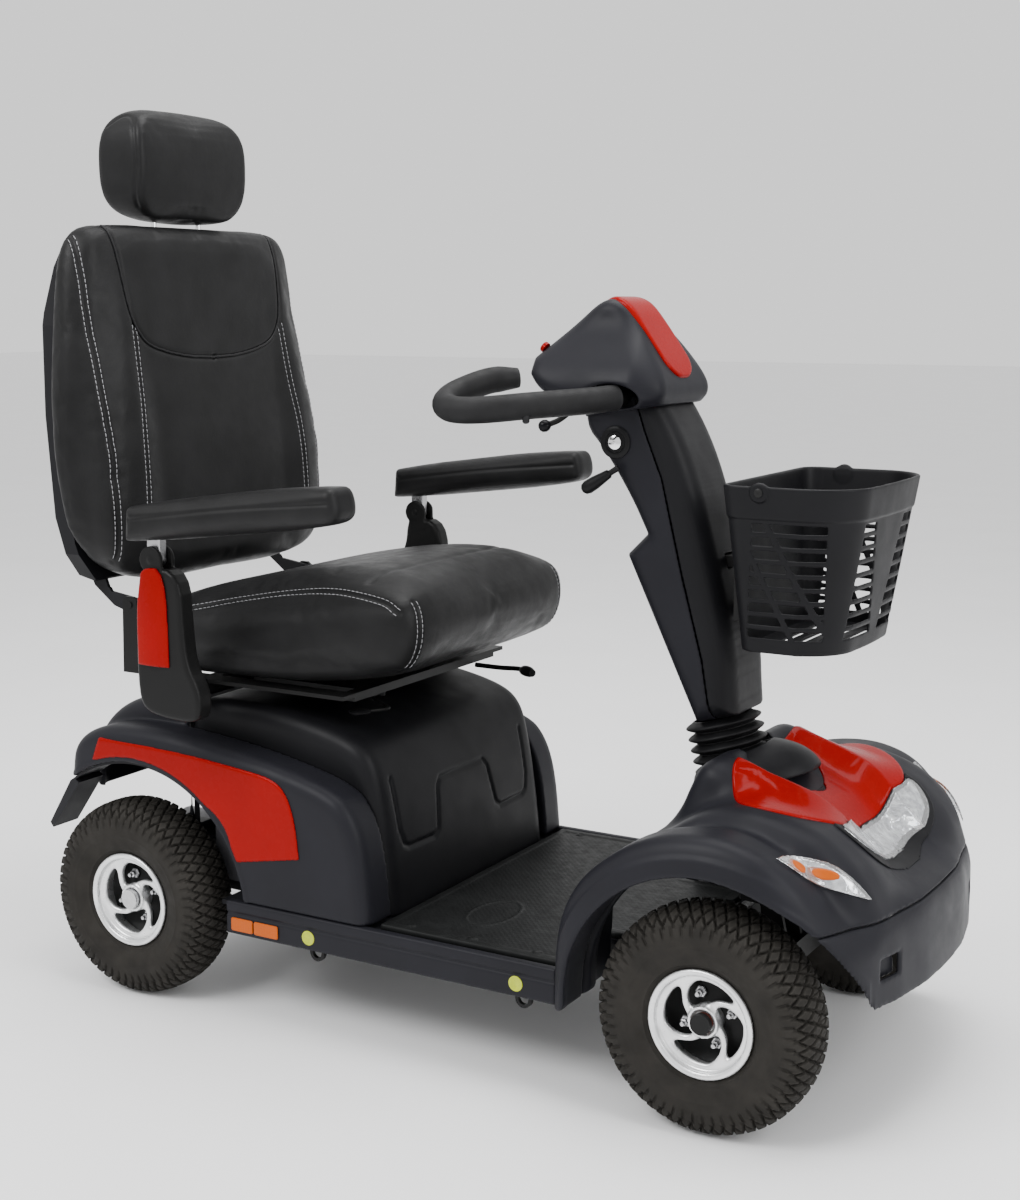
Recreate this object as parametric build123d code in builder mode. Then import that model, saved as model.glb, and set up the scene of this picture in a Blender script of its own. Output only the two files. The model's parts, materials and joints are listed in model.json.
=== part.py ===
from build123d import *
import math
import os

# Four-wheeled mobility scooter. Millimetres, +X forward, +Y left, +Z up, and the
# origin on the floor under the middle of the overall box.

# ---- driving dimensions -------------------------------------------------------
tyre_radius = 155
tyre_width = 95
rim_radius = 70
wheel_side = 277
rear_axle_x = -507
front_axle_x = 467
kingpin_side = 215
track_arm_side = 203
stub_radius = 8
shaft_radius = 10
running_gap = 0.05
clear_gap = 0.5
skin = 4

floor_low = 168
floor_high = 175
mat_high = 185
sill_side = 300
deck_rear = -345
deck_front = 246
wheel_arch_radius = 216

nose_x = 700
fender_side = 333
hood_side = 150
valley_side = 104
shoulder_side = 215
bumper_seam = 290

battery_size = (260, 165, 200)
cover_top = 466
cover_side = 234
body_side = 298

swivel_x = -290
post_radius = 30
swivel_low = 474.5
rail_high = 489
seat_plate_high = 496
cushion_half = 243
armrest_side = 349
hinge_x = -560
hinge_z = 605
stem_x = -640
stem_side = 55
stem_radius = 5

steer_x = 365
steer_z = 451
steer_rake = 16
column_half = 70

grip_radius = 18.5
bar_radius = 11

os.makedirs("parts", exist_ok=True)


# ---- helpers ------------------------------------------------------------------
def write(piece, name):
    """Label a finished piece and write it to its own STEP file."""
    piece.part.label = name
    export_step(piece.part, f"parts/{name}.step")


def block(x, y, z, mode=Mode.ADD):
    """A box between two values on each axis."""
    with Locations((sum(x) / 2, sum(y) / 2, sum(z) / 2)):
        Box(x[1] - x[0], y[1] - y[0], z[1] - z[0], mode=mode)


def both_sides(inner, outer):
    """The two Y ranges from inner to outer, right and left."""
    return ((-outer, -inner), (inner, outer))


def slab(points, y, mode=Mode.ADD):
    """Extrude a side outline, given in X and Z, over a Y range."""
    with BuildSketch(Plane.XZ.offset(-y[1])) as outline:
        with BuildLine():
            Polyline(*points, close=True)
        make_face()
    extrude(outline.sketch, amount=y[1] - y[0], mode=mode)


def face_slab(points, x, mode=Mode.ADD):
    """Extrude a front outline, given in Y and Z, over an X range."""
    with BuildSketch(Plane.YZ.offset(x[0])) as outline:
        with BuildLine():
            Polyline(*points, close=True)
        make_face()
    extrude(outline.sketch, amount=x[1] - x[0], mode=mode)


def plate(points, z, mode=Mode.ADD):
    """Extrude a plan outline, given in X and Y, over a Z range."""
    with BuildSketch(Plane.XY.offset(z[0])) as outline:
        with BuildLine():
            Polyline(*points, close=True)
        make_face()
    extrude(outline.sketch, amount=z[1] - z[0], mode=mode)


def mirrored(points):
    """A closed plan outline from the points of its left half, front to rear."""
    return [*points, *((x, -y) for x, y in reversed(points) if y != 0)]


def rod(start, end, radius, mode=Mode.ADD):
    """A round bar between two points."""
    axis = Vector(*end) - Vector(*start)
    with BuildSketch(Plane(origin=start, z_dir=axis)) as section:
        Circle(radius)
    extrude(section.sketch, amount=axis.length, mode=mode)


def bent_bar(route, bend, outer, inner=0):
    """A round bar or tube along straight runs joined by tangent arcs."""
    with BuildLine() as path:
        FilletPolyline(*route, radius=bend)
    with BuildSketch(Plane(path.line ^ 0)) as section:
        Circle(outer)
        if inner:
            Circle(inner, mode=Mode.SUBTRACT)
    sweep(section.sketch, path=path.line)


def turned(centre, points):
    """Revolve an outline of (Y, radius) points about the wheel axis through centre."""
    x, z = centre
    with BuildSketch(Plane(origin=(x, 0, z), x_dir=(0, 1, 0), z_dir=(1, 0, 0))) as outline:
        with BuildLine():
            Polyline(*points, close=True)
        make_face()
    revolve(outline.sketch, axis=Axis((x, 0, z), (0, 1, 0)))


def arch_cut(x, y, radius):
    """Cut a wheel's room out of the current part."""
    rod((x, y[0], tyre_radius), (x, y[1], tyre_radius), radius, mode=Mode.SUBTRACT)


steer_plane = Plane(
    origin=(steer_x, 0, steer_z),
    x_dir=(math.cos(math.radians(steer_rake)), 0, math.sin(math.radians(steer_rake))),
    z_dir=(-math.sin(math.radians(steer_rake)), 0, math.cos(math.radians(steer_rake))),
)


def steer_rod(low, high, radius, mode=Mode.ADD):
    """A round bar on the steering axis, measured along it from the tilt pivot."""
    with BuildSketch(steer_plane.offset(low)) as section:
        Circle(radius)
    extrude(section.sketch, amount=high - low, mode=mode)


# ---- wheels -------------------------------------------------------------------
def make_tyre(name, x, side):
    """A pneumatic tyre with rounded sidewalls and crown."""
    middle = side * wheel_side
    half = tyre_width / 2
    across = Plane(origin=(x, 0, tyre_radius), x_dir=(0, 1, 0), z_dir=(1, 0, 0))
    with BuildPart() as tyre:
        with BuildSketch(across) as section:
            with BuildLine():
                bead_a = (middle - 30, rim_radius)
                bead_b = (middle + 30, rim_radius)
                shoulder_a = (middle - 34, tyre_radius - 9)
                shoulder_b = (middle + 34, tyre_radius - 9)
                ThreePointArc(bead_a, (middle - half, 112), shoulder_a)
                ThreePointArc(shoulder_a, (middle, tyre_radius), shoulder_b)
                ThreePointArc(shoulder_b, (middle + half, 112), bead_b)
                Line(bead_b, bead_a)
            make_face()
        revolve(section.sketch, axis=Axis((x, 0, tyre_radius), (0, 1, 0)))
    write(tyre, name)


def make_rim(name, x, side, bore):
    """A cast rim: barrel, flanges, hub and a four-spoke disc near the outer face."""
    middle = side * wheel_side
    face = middle + side * 18
    with BuildPart() as rim:
        turned((x, tyre_radius), [
            (middle - 39, 64), (middle - 39, 74), (middle - 35.5, 74), (middle - 35.5, rim_radius),
            (middle + 35.5, rim_radius), (middle + 35.5, 74), (middle + 39, 74), (middle + 39, 64),
        ])
        rod((x, face - 5, tyre_radius), (x, face + 5, tyre_radius), 68)
        rod((x, middle - 29, tyre_radius), (x, middle + 29, tyre_radius), 24)
        with BuildSketch(Plane(origin=(x, face - 6, tyre_radius), z_dir=(0, 1, 0))) as windows:
            with PolarLocations(0, 4, start_angle=20):
                with Locations((42, 0)):
                    Circle(12.5)
                with Locations((38, -24)):
                    Circle(4)
        extrude(windows.sketch, amount=12, mode=Mode.SUBTRACT)
        rod((x, middle - 40, tyre_radius), (x, middle + 40, tyre_radius), bore, mode=Mode.SUBTRACT)
    write(rim, name)


for hand, side in (("right", -1), ("left", 1)):
    make_tyre(f"front_tyre_{hand}", front_axle_x, side)
    make_tyre(f"rear_tyre_{hand}", rear_axle_x, side)
    make_rim(f"front_rim_{hand}", front_axle_x, side, stub_radius + running_gap)
    make_rim(f"rear_rim_{hand}", rear_axle_x, side, shaft_radius)

    with BuildPart() as half_shaft:
        rod((rear_axle_x, side * 120, tyre_radius), (rear_axle_x, side * 306, tyre_radius), shaft_radius)
        rod((rear_axle_x, side * 306, tyre_radius), (rear_axle_x, side * 314, tyre_radius), 15)
    write(half_shaft, f"half_shaft_{hand}")

    # steering knuckle: kingpin barrel, stub axle with its nut, and a rearward arm
    with BuildPart() as knuckle:
        pin_y = side * kingpin_side
        rod((front_axle_x, pin_y, 112), (front_axle_x, pin_y, 198), 15)
        rod((front_axle_x, pin_y, tyre_radius), (front_axle_x, side * 247, tyre_radius), 14)
        rod((front_axle_x, side * 247, tyre_radius), (front_axle_x, side * 307, tyre_radius), stub_radius)
        rod((front_axle_x, side * 306.5, tyre_radius), (front_axle_x, side * 315, tyre_radius), 14)
        arm_y = side * track_arm_side
        arm = [(467, pin_y + 9), (392, arm_y + 8), (384, arm_y), (392, arm_y - 8), (467, pin_y - 9)]
        plate(arm, (182, 194))
        rod((front_axle_x, pin_y, 90), (front_axle_x, pin_y, 220), 6 + running_gap, mode=Mode.SUBTRACT)
    write(knuckle, f"knuckle_{hand}")

# track rod, carried just above the knuckle arms
with BuildPart() as tie_rod:
    rod((392, 5 - track_arm_side, 205), (392, track_arm_side - 5, 205), 6)
    for y in (-track_arm_side, track_arm_side):
        rod((392, y, 196), (392, y, 214), 11)
write(tie_rod, "tie_rod")

# ---- chassis ------------------------------------------------------------------
with BuildPart() as chassis_frame:
    for y in both_sides(90, 130):
        block((-440, 415), y, (128, 168))
        block((-462, -430), y, (128, 226))
        block((-612, -430), y, (196, 226))
        block((-524, -490), y, (160, 200))
    for x in ((-426, -404), (-310, -270), (60, 90), (290, 315), (395, 415)):
        block(x, (-92, 92), (132, 162))
    for x in (-170, 184):
        block((x - 12, x + 12), (-282, 282), (130, 148))
        for side in (-1, 1):
            with BuildSketch(Plane(origin=(x, side * 276, 120), z_dir=(0, side, 0))) as eye:
                Circle(13)
                Circle(8, mode=Mode.SUBTRACT)
            extrude(eye.sketch, amount=3, both=True)
    block((452, 482), (-196, 196), (138, 172))
    block((405, 460), (-60, 60), (138, 162))
    for y in both_sides(186, 196):
        block((463, 485), y, (97, 213))
    for z in ((97, 111), (199, 213)):
        for y in both_sides(186, kingpin_side):
            block((450, 484), y, z)
        for y in (-kingpin_side, kingpin_side):
            rod((front_axle_x, y, z[0]), (front_axle_x, y, z[1]), 17)
    for y in (-kingpin_side, kingpin_side):
        rod((front_axle_x, y, 92), (front_axle_x, y, 219), 6)
    # head tube on two gusset plates
    for y in both_sides(22, 29):
        slab([(438, 140), (482, 140), (446, 290), (408, 400), (378, 400), (394, 330), (416, 260), (432, 222)], y)
    steer_rod(-218, -52, 24)
    steer_rod(-230, -40, 17 + running_gap, mode=Mode.SUBTRACT)
    # socket for the seat post
    rod((swivel_x, 0, 128), (swivel_x, 0, 240), 37)
    rod((swivel_x, 0, 120), (swivel_x, 0, 250), post_radius, mode=Mode.SUBTRACT)
    rod((rear_axle_x, -140, tyre_radius), (rear_axle_x, 140, tyre_radius), 31, mode=Mode.SUBTRACT)
write(chassis_frame, "chassis_frame")

with BuildPart() as seat_post:
    rod((swivel_x, 0, 132), (swivel_x, 0, 470), post_radius)
    rod((swivel_x, 0, 466.5), (swivel_x, 0, 474), 70)
write(seat_post, "seat_post")

with BuildPart() as drive_unit:
    rod((rear_axle_x, -222, tyre_radius), (rear_axle_x, 222, tyre_radius), 30.5)
    rod((rear_axle_x, -34, tyre_radius), (rear_axle_x, 34, tyre_radius), 66)
    rod((rear_axle_x - 40, 0, tyre_radius), (rear_axle_x - 150, 0, tyre_radius), 50)
    rod((rear_axle_x - 150, 0, tyre_radius), (rear_axle_x - 164, 0, tyre_radius), 34)
    for y in both_sides(110, 230):
        rod((rear_axle_x, y[0], tyre_radius), (rear_axle_x, y[1], tyre_radius),
            shaft_radius + running_gap, mode=Mode.SUBTRACT)
write(drive_unit, "drive_unit")

with BuildPart() as batteries:
    length, width, height = battery_size
    for side in (-1, 1):
        with Locations((swivel_x, side * (40 + width / 2), floor_high + height / 2)):
            Box(length, width, height)
        for x in (-60, 60):
            rod((swivel_x + x, side * 60, floor_high + height), (swivel_x + x, side * 60, floor_high + height + 12), 8)
write(batteries, "batteries")

with BuildPart() as floor_pan:
    plate(mirrored([(352, 140), (deck_front, 140), (deck_front, 284), (deck_rear, 284), (deck_rear, 200),
                    (-425, 200)]), (floor_low, floor_high))
    for y in both_sides(278, 284):
        block((-330, deck_front), y, (150, floor_low))
    rod((swivel_x, 0, 150), (swivel_x, 0, 190), 37, mode=Mode.SUBTRACT)
write(floor_pan, "floor_pan")

with BuildPart() as floor_mat:
    plate(mirrored([(344, 136), (240, 136), (240, 276), (-58, 276)]), (floor_high, mat_high))
write(floor_mat, "floor_mat")

with BuildPart() as sill_trims:
    for side in (-1, 1):
        y = (sill_side - 15, sill_side) if side > 0 else (-sill_side, 15 - sill_side)
        block((-324, deck_front - clear_gap), y, (130, 182))
        groove = (sill_side - 2.5, sill_side + 1) if side > 0 else (-sill_side - 1, 2.5 - sill_side)
        block((-330, deck_front + 20), groove, (162, 165), mode=Mode.SUBTRACT)
write(sill_trims, "sill_trims")

with BuildPart() as sill_reflectors:
    for y in both_sides(sill_side, sill_side + 4):
        block((-313, -272), y, (137, 158))
        block((-270, -225), y, (137, 158))
write(sill_reflectors, "sill_reflectors")


# ---- front bodywork -----------------------------------------------------------
nose_plan = [(nose_x, 0), (nose_x - 4, 78), (679, 148), (655, 212), (632, 256), (600, 296), (556, 326),
             (500, fender_side), (246, fender_side)]
fender_view = [(246, 130), (246, 215), (258, 268), (282, 312), (318, 348), (362, 378), (412, 396), (470, 402),
               (510, 396), (550, 380), (585, 352), (615, 318), (640, 292), (690, 284), (704, 225), (704, 160),
               (300, 130)]
shoulder_view = [(246, 130), (246, 215), (258, 268), (282, 312), (318, 346), (360, 366), (402, 395), (440, 410),
                 (488, 418), (530, 413), (576, 399), (614, 374), (645, 340), (668, 300), (692, 284), (704, 225),
                 (704, 160), (300, 130)]
hood_view = [(352, 186), (352, 355), (388, 456), (440, 452), (500, 432), (552, 402), (580, 374), (620, 303),
             (660, 296), (692, 286), (704, 225), (704, 160), (400, 160)]
bumper_low_edge = [(0, 197), (-120, 184), (-175, 172), (-220, 160), (-400, 160), (-400, 60), (400, 60), (400, 160),
                   (220, 160), (175, 172), (120, 184)]
open_below = 90


def front_block(inward):
    """The front bodywork as one solid, or its inside with every outer face moved in by a distance."""
    with BuildPart() as body:
        zones = [(fender_view, y) for y in both_sides(shoulder_side + inward, fender_side + 1)]
        zones += [(shoulder_view, y) for y in both_sides(valley_side + inward, shoulder_side + 20 - inward)]
        zones += [(hood_view, (inward - hood_side, hood_side - inward))]
        for view, y in zones:
            drop = open_below if inward else 0
            with BuildSketch(Plane.XZ.offset(-y[1])) as outline:
                with BuildLine():
                    Polyline(*((x, z - drop if z < 200 else z) for x, z in view), close=True)
                make_face()
                if inward:
                    offset(amount=-inward, kind=Kind.INTERSECTION)
            extrude(outline.sketch, amount=y[1] - y[0])
        with BuildSketch(Plane.XY) as plan:
            with BuildLine():
                Polyline(*mirrored(nose_plan), close=True)
            make_face()
            if inward:
                offset(amount=-inward, kind=Kind.INTERSECTION)
        extrude(plan.sketch, amount=600, mode=Mode.INTERSECT)
    return body.part


def front_shell():
    """Add the hollow front bodywork to the current part: open below and round the wheels."""
    add(front_block(0))
    add(front_block(skin), mode=Mode.SUBTRACT)
    block((200, 352), (-hood_side, hood_side), (100, 460), mode=Mode.SUBTRACT)
    block((200, 400), (-hood_side, hood_side), (100, 186), mode=Mode.SUBTRACT)
    for y in both_sides(hood_side, 300):
        arch_cut(front_axle_x, y, wheel_arch_radius - 24)
    for y in both_sides(296, 400):
        arch_cut(front_axle_x, y, wheel_arch_radius)
    face_slab(bumper_low_edge, (500, 720), mode=Mode.SUBTRACT)


insert_left = [(434, 128), (430, 60), (470, 96), (552, 84), (572, 96), (572, 112), (540, 128)]

with BuildPart() as front_hood:
    front_shell()
    block((560, 720), (-400, 400), (100, bumper_seam + 0.5), mode=Mode.SUBTRACT)
    steer_rod(-80, 60, 66, mode=Mode.SUBTRACT)
write(front_hood, "front_hood")

with BuildPart() as front_bumper:
    front_shell()
    block((200, 560), (-400, 400), (100, 520), mode=Mode.SUBTRACT)
    block((200, 720), (-400, 400), (bumper_seam, 520), mode=Mode.SUBTRACT)
    for y in both_sides(140, 180):
        block((660, 720), y, (206, 232), mode=Mode.SUBTRACT)
write(front_bumper, "front_bumper")


def raised_panel(plan, thickness, z_low, name):
    """A thin panel lying on the hood's upper faces, cut to a plan outline on both sides."""
    with BuildPart() as panel:
        with BuildSketch(Plane.XZ.offset(-hood_side)) as view:
            with BuildLine():
                Polyline(*hood_view, close=True)
            make_face()
            offset(amount=thickness, kind=Kind.INTERSECTION)
        extrude(view.sketch, amount=2 * hood_side)
        add(front_block(0), mode=Mode.SUBTRACT)
        with BuildSketch(Plane.XY.offset(z_low)) as outline:
            for side in (-1, 1):
                with BuildLine():
                    Polyline(*((x, side * y) for x, y in plan), close=True)
                make_face()
        extrude(outline.sketch, amount=200, mode=Mode.INTERSECT)
    write(panel, name)


raised_panel(insert_left, 3, 340, "hood_insert")
raised_panel([(574, 0), (574, 98), (584, 98), (604, 62), (620, 20), (622, 0)], 3, 290, "headlight_lens")

with BuildPart() as front_indicators:
    for view, y in ((fender_view, (-fender_side, fender_side)), (shoulder_view, (-shoulder_side, shoulder_side))):
        with BuildSketch(Plane.XZ.offset(-y[1])) as outline:
            with BuildLine():
                Polyline(*view, close=True)
            make_face()
            offset(amount=3, kind=Kind.INTERSECTION)
        extrude(outline.sketch, amount=y[1] - y[0])
    with BuildSketch(Plane.XY.offset(296)) as plan:
        for side in (-1, 1):
            with BuildLine():
                Polyline((540, side * 268), (588, side * 222), (634, side * 166), (622, side * 222), (584, side * 264),
                         close=True)
            make_face()
    extrude(plan.sketch, amount=150, mode=Mode.INTERSECT)
    add(front_block(0), mode=Mode.SUBTRACT)
write(front_indicators, "front_indicators")

# collar round the bellows, standing in the hood's top opening
with BuildPart() as steering_cowl:
    steer_rod(-40, -3, 65)
    steer_rod(-60, 20, 61, mode=Mode.SUBTRACT)
write(steering_cowl, "steering_cowl")

# ---- rear bodywork ------------------------------------------------------------
cover_side_view = [(-62, floor_high), (-78, 290), (-100, 390), (-125, 432), (-190, 450), (-270, cover_top), (-445, cover_top),
                   (-445, floor_high)]
body_side_view = [(-64, 182), (-76, 287), (-98, 345), (-130, 376), (-260, 404), (-380, 418), (-480, 424),
                  (-565, 420), (-622, 396), (-640, 352), (-640, 182)]
deck_side_view = [(-447, 300), (-447, cover_top), (-520, 462), (-585, 440), (-632, 396), (-646, 340), (-646, 300)]


def shell_slab(points, y, t):
    """A hollow cover with a side outline, open below and closed at both sides."""
    slab(points, y)
    with BuildSketch(Plane.XZ.offset(t - y[1])) as inner:
        with BuildLine():
            Polyline(*points, close=True)
        make_face()
        offset(amount=-t, kind=Kind.INTERSECTION)
    extrude(inner.sketch, amount=y[1] - y[0] - 2 * t, mode=Mode.SUBTRACT)
    low = min(p[1] for p in points)
    x = [p[0] for p in points]
    block((min(x) + t, max(x) - t - 8), (y[0] + t, y[1] - t), (low - 1, low + t + 1), mode=Mode.SUBTRACT)


with BuildPart() as pedestal_cover:
    shell_slab(cover_side_view, (-cover_side, cover_side), skin)
    block((-446, -440), (-cover_side + skin, cover_side - skin), (170, cover_top - skin), mode=Mode.SUBTRACT)
    rod((swivel_x, 0, 440), (swivel_x, 0, 480), post_radius + 2, mode=Mode.SUBTRACT)
    for y in both_sides(228, 240):
        arch_cut(rear_axle_x, y, wheel_arch_radius)
write(pedestal_cover, "pedestal_cover")

with BuildPart() as rear_body:
    for y in both_sides(cover_side + 0.5, body_side):
        shell_slab(body_side_view, y, skin)
    shell_slab(deck_side_view, (-cover_side - 3, cover_side + 3), skin)
    for y in both_sides(cover_side - 8, 310):
        arch_cut(rear_axle_x, y, wheel_arch_radius)
    block((-720, rear_axle_x), (-310, 310), (100, 300), mode=Mode.SUBTRACT)
    for y in both_sides(cover_side, 310):
        block((-720, -600), y, (100, 332), mode=Mode.SUBTRACT)
    block((-448, -430), (-cover_side + 6, cover_side - 6), (296, cover_top - skin), mode=Mode.SUBTRACT)
write(rear_body, "rear_body")

with BuildPart() as rear_side_panels:
    red_view = [(-584, 366), (-560, 406), (-460, 399), (-360, 392), (-271, 384), (-225, 362), (-200, 320),
                (-184, 264), (-308, 247), (-316, 290), (-340, 320)]
    for y in both_sides(body_side, body_side + 3):
        slab(red_view, y)
        arch_cut(rear_axle_x, y, wheel_arch_radius + 6)
write(rear_side_panels, "rear_side_panels")

# wheel-arch liners that end in a mudflap behind each rear wheel
with BuildPart() as mudflaps:
    for y in both_sides(cover_side + 3, body_side - 6):
        rod((rear_axle_x, y[0], tyre_radius), (rear_axle_x, y[1], tyre_radius), wheel_arch_radius - 0.4)
        arch_cut(rear_axle_x, y, wheel_arch_radius - 4)
        block((-800, -250), y, (-100, 215), mode=Mode.SUBTRACT)
        block((-800, -640), y, (100, 500), mode=Mode.SUBTRACT)
        slab([(-624, 322), (-634, 329), (-642, 324), (-690, 248), (-684, 240)], y)
write(mudflaps, "mudflaps")

with BuildPart() as rear_lamps:
    for y in both_sides(150, 215):
        block((-654, -646), y, (312, 338))
write(rear_lamps, "rear_lamps")

# ---- steering and tiller ------------------------------------------------------
with BuildPart() as steering_stem:
    steer_rod(-228, -20, 17)
    steer_rod(-32, -20, 32)
    for y in both_sides(20, 30):
        slab([(352, 424), (388, 430), (382, 462), (352, 462)], y)
    rod((steer_x, -30, steer_z), (steer_x, 30, steer_z), 6)
    plate([(432, -12), (392, -7), (386, 0), (392, 7), (432, 12)], (219, 229))
write(steering_stem, "steering_stem")

# rubber bellows: four convolutions round the steering axis
with BuildPart() as steering_bellows:
    with BuildSketch(Plane(origin=(steer_x, 0, steer_z), x_dir=steer_plane.x_dir, z_dir=(0, -1, 0))) as wall:
        with BuildLine():
            outer = [(56, -34), (47, -26), (58, -18), (47, -10), (57, -2), (46, 6), (55, 14), (45, 22), (53, 30),
                     (46, 37)]
            inner = [(x - 3, y) for x, y in reversed(outer)]
            Polyline(*outer, *inner, close=True)
        make_face()
    revolve(wall.sketch, axis=Axis((steer_x, 0, steer_z), steer_plane.z_dir))
write(steering_bellows, "steering_bellows")

seam_line = [(366.5, 492), (361, 520), (351, 580), (318, 700), (286, 830), (258, 898), (240, 935)]
column_rear = [(337, 484), (224, 717), (249, 742), (222, 800), (186, 858), (150, 900), (165, 922)]
column_front = [(396, 502), (393, 540), (391, 582), (374, 660), (352, 750), (328, 834), (300, 900), (282, 935)]

with BuildPart() as tiller_post:
    rod((steer_x, -19, steer_z), (steer_x, 19, steer_z), 14)
    slab([(352, 455), (378, 455), (384, 500), (336, 690), (240, 925), (212, 925), (308, 680), (350, 500)], (-16, 16))
    rod((steer_x, -31, steer_z), (steer_x, 31, steer_z), 6 + running_gap, mode=Mode.SUBTRACT)
    # basket bracket, out through the front cover
    block((330, 398), (-14, 14), (706, 722))
    block((340, 404), (-14, 14), (640, 656))
    block((395, 404), (-62, 62), (640, 722))
    for y in both_sides(48, 62):
        block((395, 412), y, (700, 722))
write(tiller_post, "tiller_post")

with BuildPart() as tiller_rear_cover:
    slab([*column_rear, *reversed(seam_line)], (-column_half, column_half))
    slab([(342, 478), (400, 488), (380, 520), (380, 580), (345, 700), (312, 830), (286, 898), (262, 945), (160, 945),
          (156, 902), (191, 860), (227, 802), (254, 742), (230, 717)], (3 - column_half, column_half - 3),
         mode=Mode.SUBTRACT)
write(tiller_rear_cover, "tiller_rear_cover")

with BuildPart() as tiller_front_cover:
    front_seam = [(x + 0.5, z) for x, z in seam_line]
    slab([*front_seam, *reversed(column_front)], (-column_half, column_half))
    slab([(340, 480), (392, 495), (389, 540), (387, 581), (370, 659), (348, 749), (324, 833), (296, 899), (270, 945),
          (230, 945), (200, 920)], (3 - column_half, column_half - 3), mode=Mode.SUBTRACT)
    block((330, 400), (-14.5, 14.5), (705.5, 722.5), mode=Mode.SUBTRACT)
    block((340, 400), (-14.5, 14.5), (639.5, 656.5), mode=Mode.SUBTRACT)
write(tiller_front_cover, "tiller_front_cover")

console_view = [(120, 950), (88, 992), (110, 1022), (152, 1062), (176, 1076), (196, 1066), (262, 972), (286, 944),
                (286, 936), (150, 936)]
console_inner = [(122, 955), (93, 992), (113, 1020), (154, 1058), (176, 1071), (193, 1063), (258, 970), (282, 942),
                 (282, 930), (150, 930)]
console_half = 108

with BuildPart() as console_shell:
    slab(console_view, (-console_half, console_half))
    slab(console_inner, (skin - console_half, console_half - skin), mode=Mode.SUBTRACT)
    for y in both_sides(console_half - 30, console_half + 20):
        block((150, 290), y, (900, 966), mode=Mode.SUBTRACT)
write(console_shell, "console_shell")

with BuildPart() as console_insert:
    slab([(176, 1076), (178, 1080), (200, 1069), (267, 974), (262, 972), (196, 1066)], (-60, 60))
write(console_insert, "console_insert")

bar_left = [(226, 0, 944), (226, 50, 944), (215, 130, 942), (150, 215, 935), (78, 258, 930), (36, 246, 937),
            (34, 205, 952), (62, 154, 967), (88, 127, 970)]
bar_bends = [60, 60, 60, 34, 26, 40, 40]

with BuildPart() as handlebar:
    for side in (-1, 1):
        bent_bar([(x, side * y, z) for x, y, z in bar_left], bar_bends, bar_radius)
write(handlebar, "handlebar")

with BuildPart() as handlebar_grips:
    for side in (-1, 1):
        start = Vector(206, 142, 941)
        route = [(start.X, side * start.Y, start.Z)]
        route += [(x, side * y, z) for x, y, z in bar_left[3:]]
        bent_bar(route, bar_bends[2:], grip_radius, bar_radius + 0.2)
write(handlebar_grips, "handlebar_grips")

# small controls on the tiller
with BuildPart() as tilt_lever:
    rod((228, -72, 846), (228, -80, 846), 7)
    rod((228, -76, 846), (214, -79, 845), 5)
    rod((214, -79, 845), (196, -83, 841), 3.5)
    rod((196, -83, 841), (172, -88, 833), 10)
write(tilt_lever, "tilt_lever")

with BuildPart() as key_barrel:
    rod((214, -column_half - clear_gap, 880), (214, -column_half - 5, 880), 13)
    block((212.5, 215.5), (-column_half - 9, -column_half - 4), (872, 888))
write(key_barrel, "key_barrel")

with BuildPart() as drive_lever:
    rod((150, -60, 1000), (150, 60, 1000), 4)
    rod((150, 0, 990), (150, 0, 1010), 9)
    for side in (-1, 1):
        bent_bar([(150, side * 60, 1000), (152, side * 72, 980), (160, side * 100, 925), (136, side * 128, 905)],
                 [6, 14], 4)
        with Locations((133, side * 131, 903)):
            Sphere(9)
write(drive_lever, "drive_lever")

dash_normal = Vector(-32, 0, 22).normalized()
dash_middle = Vector(100, 0, 1008)


def dash_button(y, radius, low, high):
    """A round control standing on the dashboard face."""
    start = dash_middle + dash_normal * low
    end = dash_middle + dash_normal * high
    rod((start.X, y, start.Z), (end.X, y, end.Z), radius)


with BuildPart() as speed_dial:
    dash_button(0, 15, 1.0 + clear_gap, 16)
write(speed_dial, "speed_dial")

with BuildPart() as horn_button:
    dash_button(-62, 8, 3.5, 10)
write(horn_button, "horn_button")


# ---- basket -------------------------------------------------------------------
def basket_outline(rear, front, half, z, inward):
    """A closed basket section: rounded rectangle, narrower in front."""
    with BuildSketch(Plane.XY.offset(z)) as section:
        with BuildLine():
            Polyline(*mirrored([(front - inward, 0), (front - 6 - inward, half * 0.45), (front - 34 - inward, half - 22),
                                (front - 62, half - inward), (rear + 26, half + 4 - inward),
                                (rear + inward, half - 22)]), close=True)
        make_face()
    return section.sketch


def basket_block(inward, low, high):
    """The basket's outer form, loft from bottom to rim, moved in by a distance."""
    with BuildPart() as body:
        loft([basket_outline(430, 562, 130, low, inward), basket_outline(412, 594, 160, high, inward)])
    return body.part


with BuildPart() as basket:
    add(basket_block(0, 612, 838))
    add(basket_block(3, 616, 842), mode=Mode.SUBTRACT)
    # slots through the side and front walls
    for row in range(6):
        z = 656 + 22 * row
        for y in both_sides(100, 200):
            block((450, 476), y, (z, z + 11), mode=Mode.SUBTRACT)
            block((490, 516), y, (z, z + 11), mode=Mode.SUBTRACT)
        for y in both_sides(20, 58):
            block((540, 620), y, (z, z + 11), mode=Mode.SUBTRACT)
    block((412.5, 430), (-60, 60), (690, 722), mode=Mode.SUBTRACT)
write(basket, "basket")

# ---- seat ---------------------------------------------------------------------
with BuildPart() as swivel_plate:
    rod((swivel_x, 0, swivel_low), (swivel_x, 0, swivel_low + 5), 78)
    block((-372, -190), (-130, 130), (swivel_low, swivel_low + 5))
    for y in both_sides(104, 130):
        block((-372, -190), y, (swivel_low + 4, rail_high))
write(swivel_plate, "swivel_plate")

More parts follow.
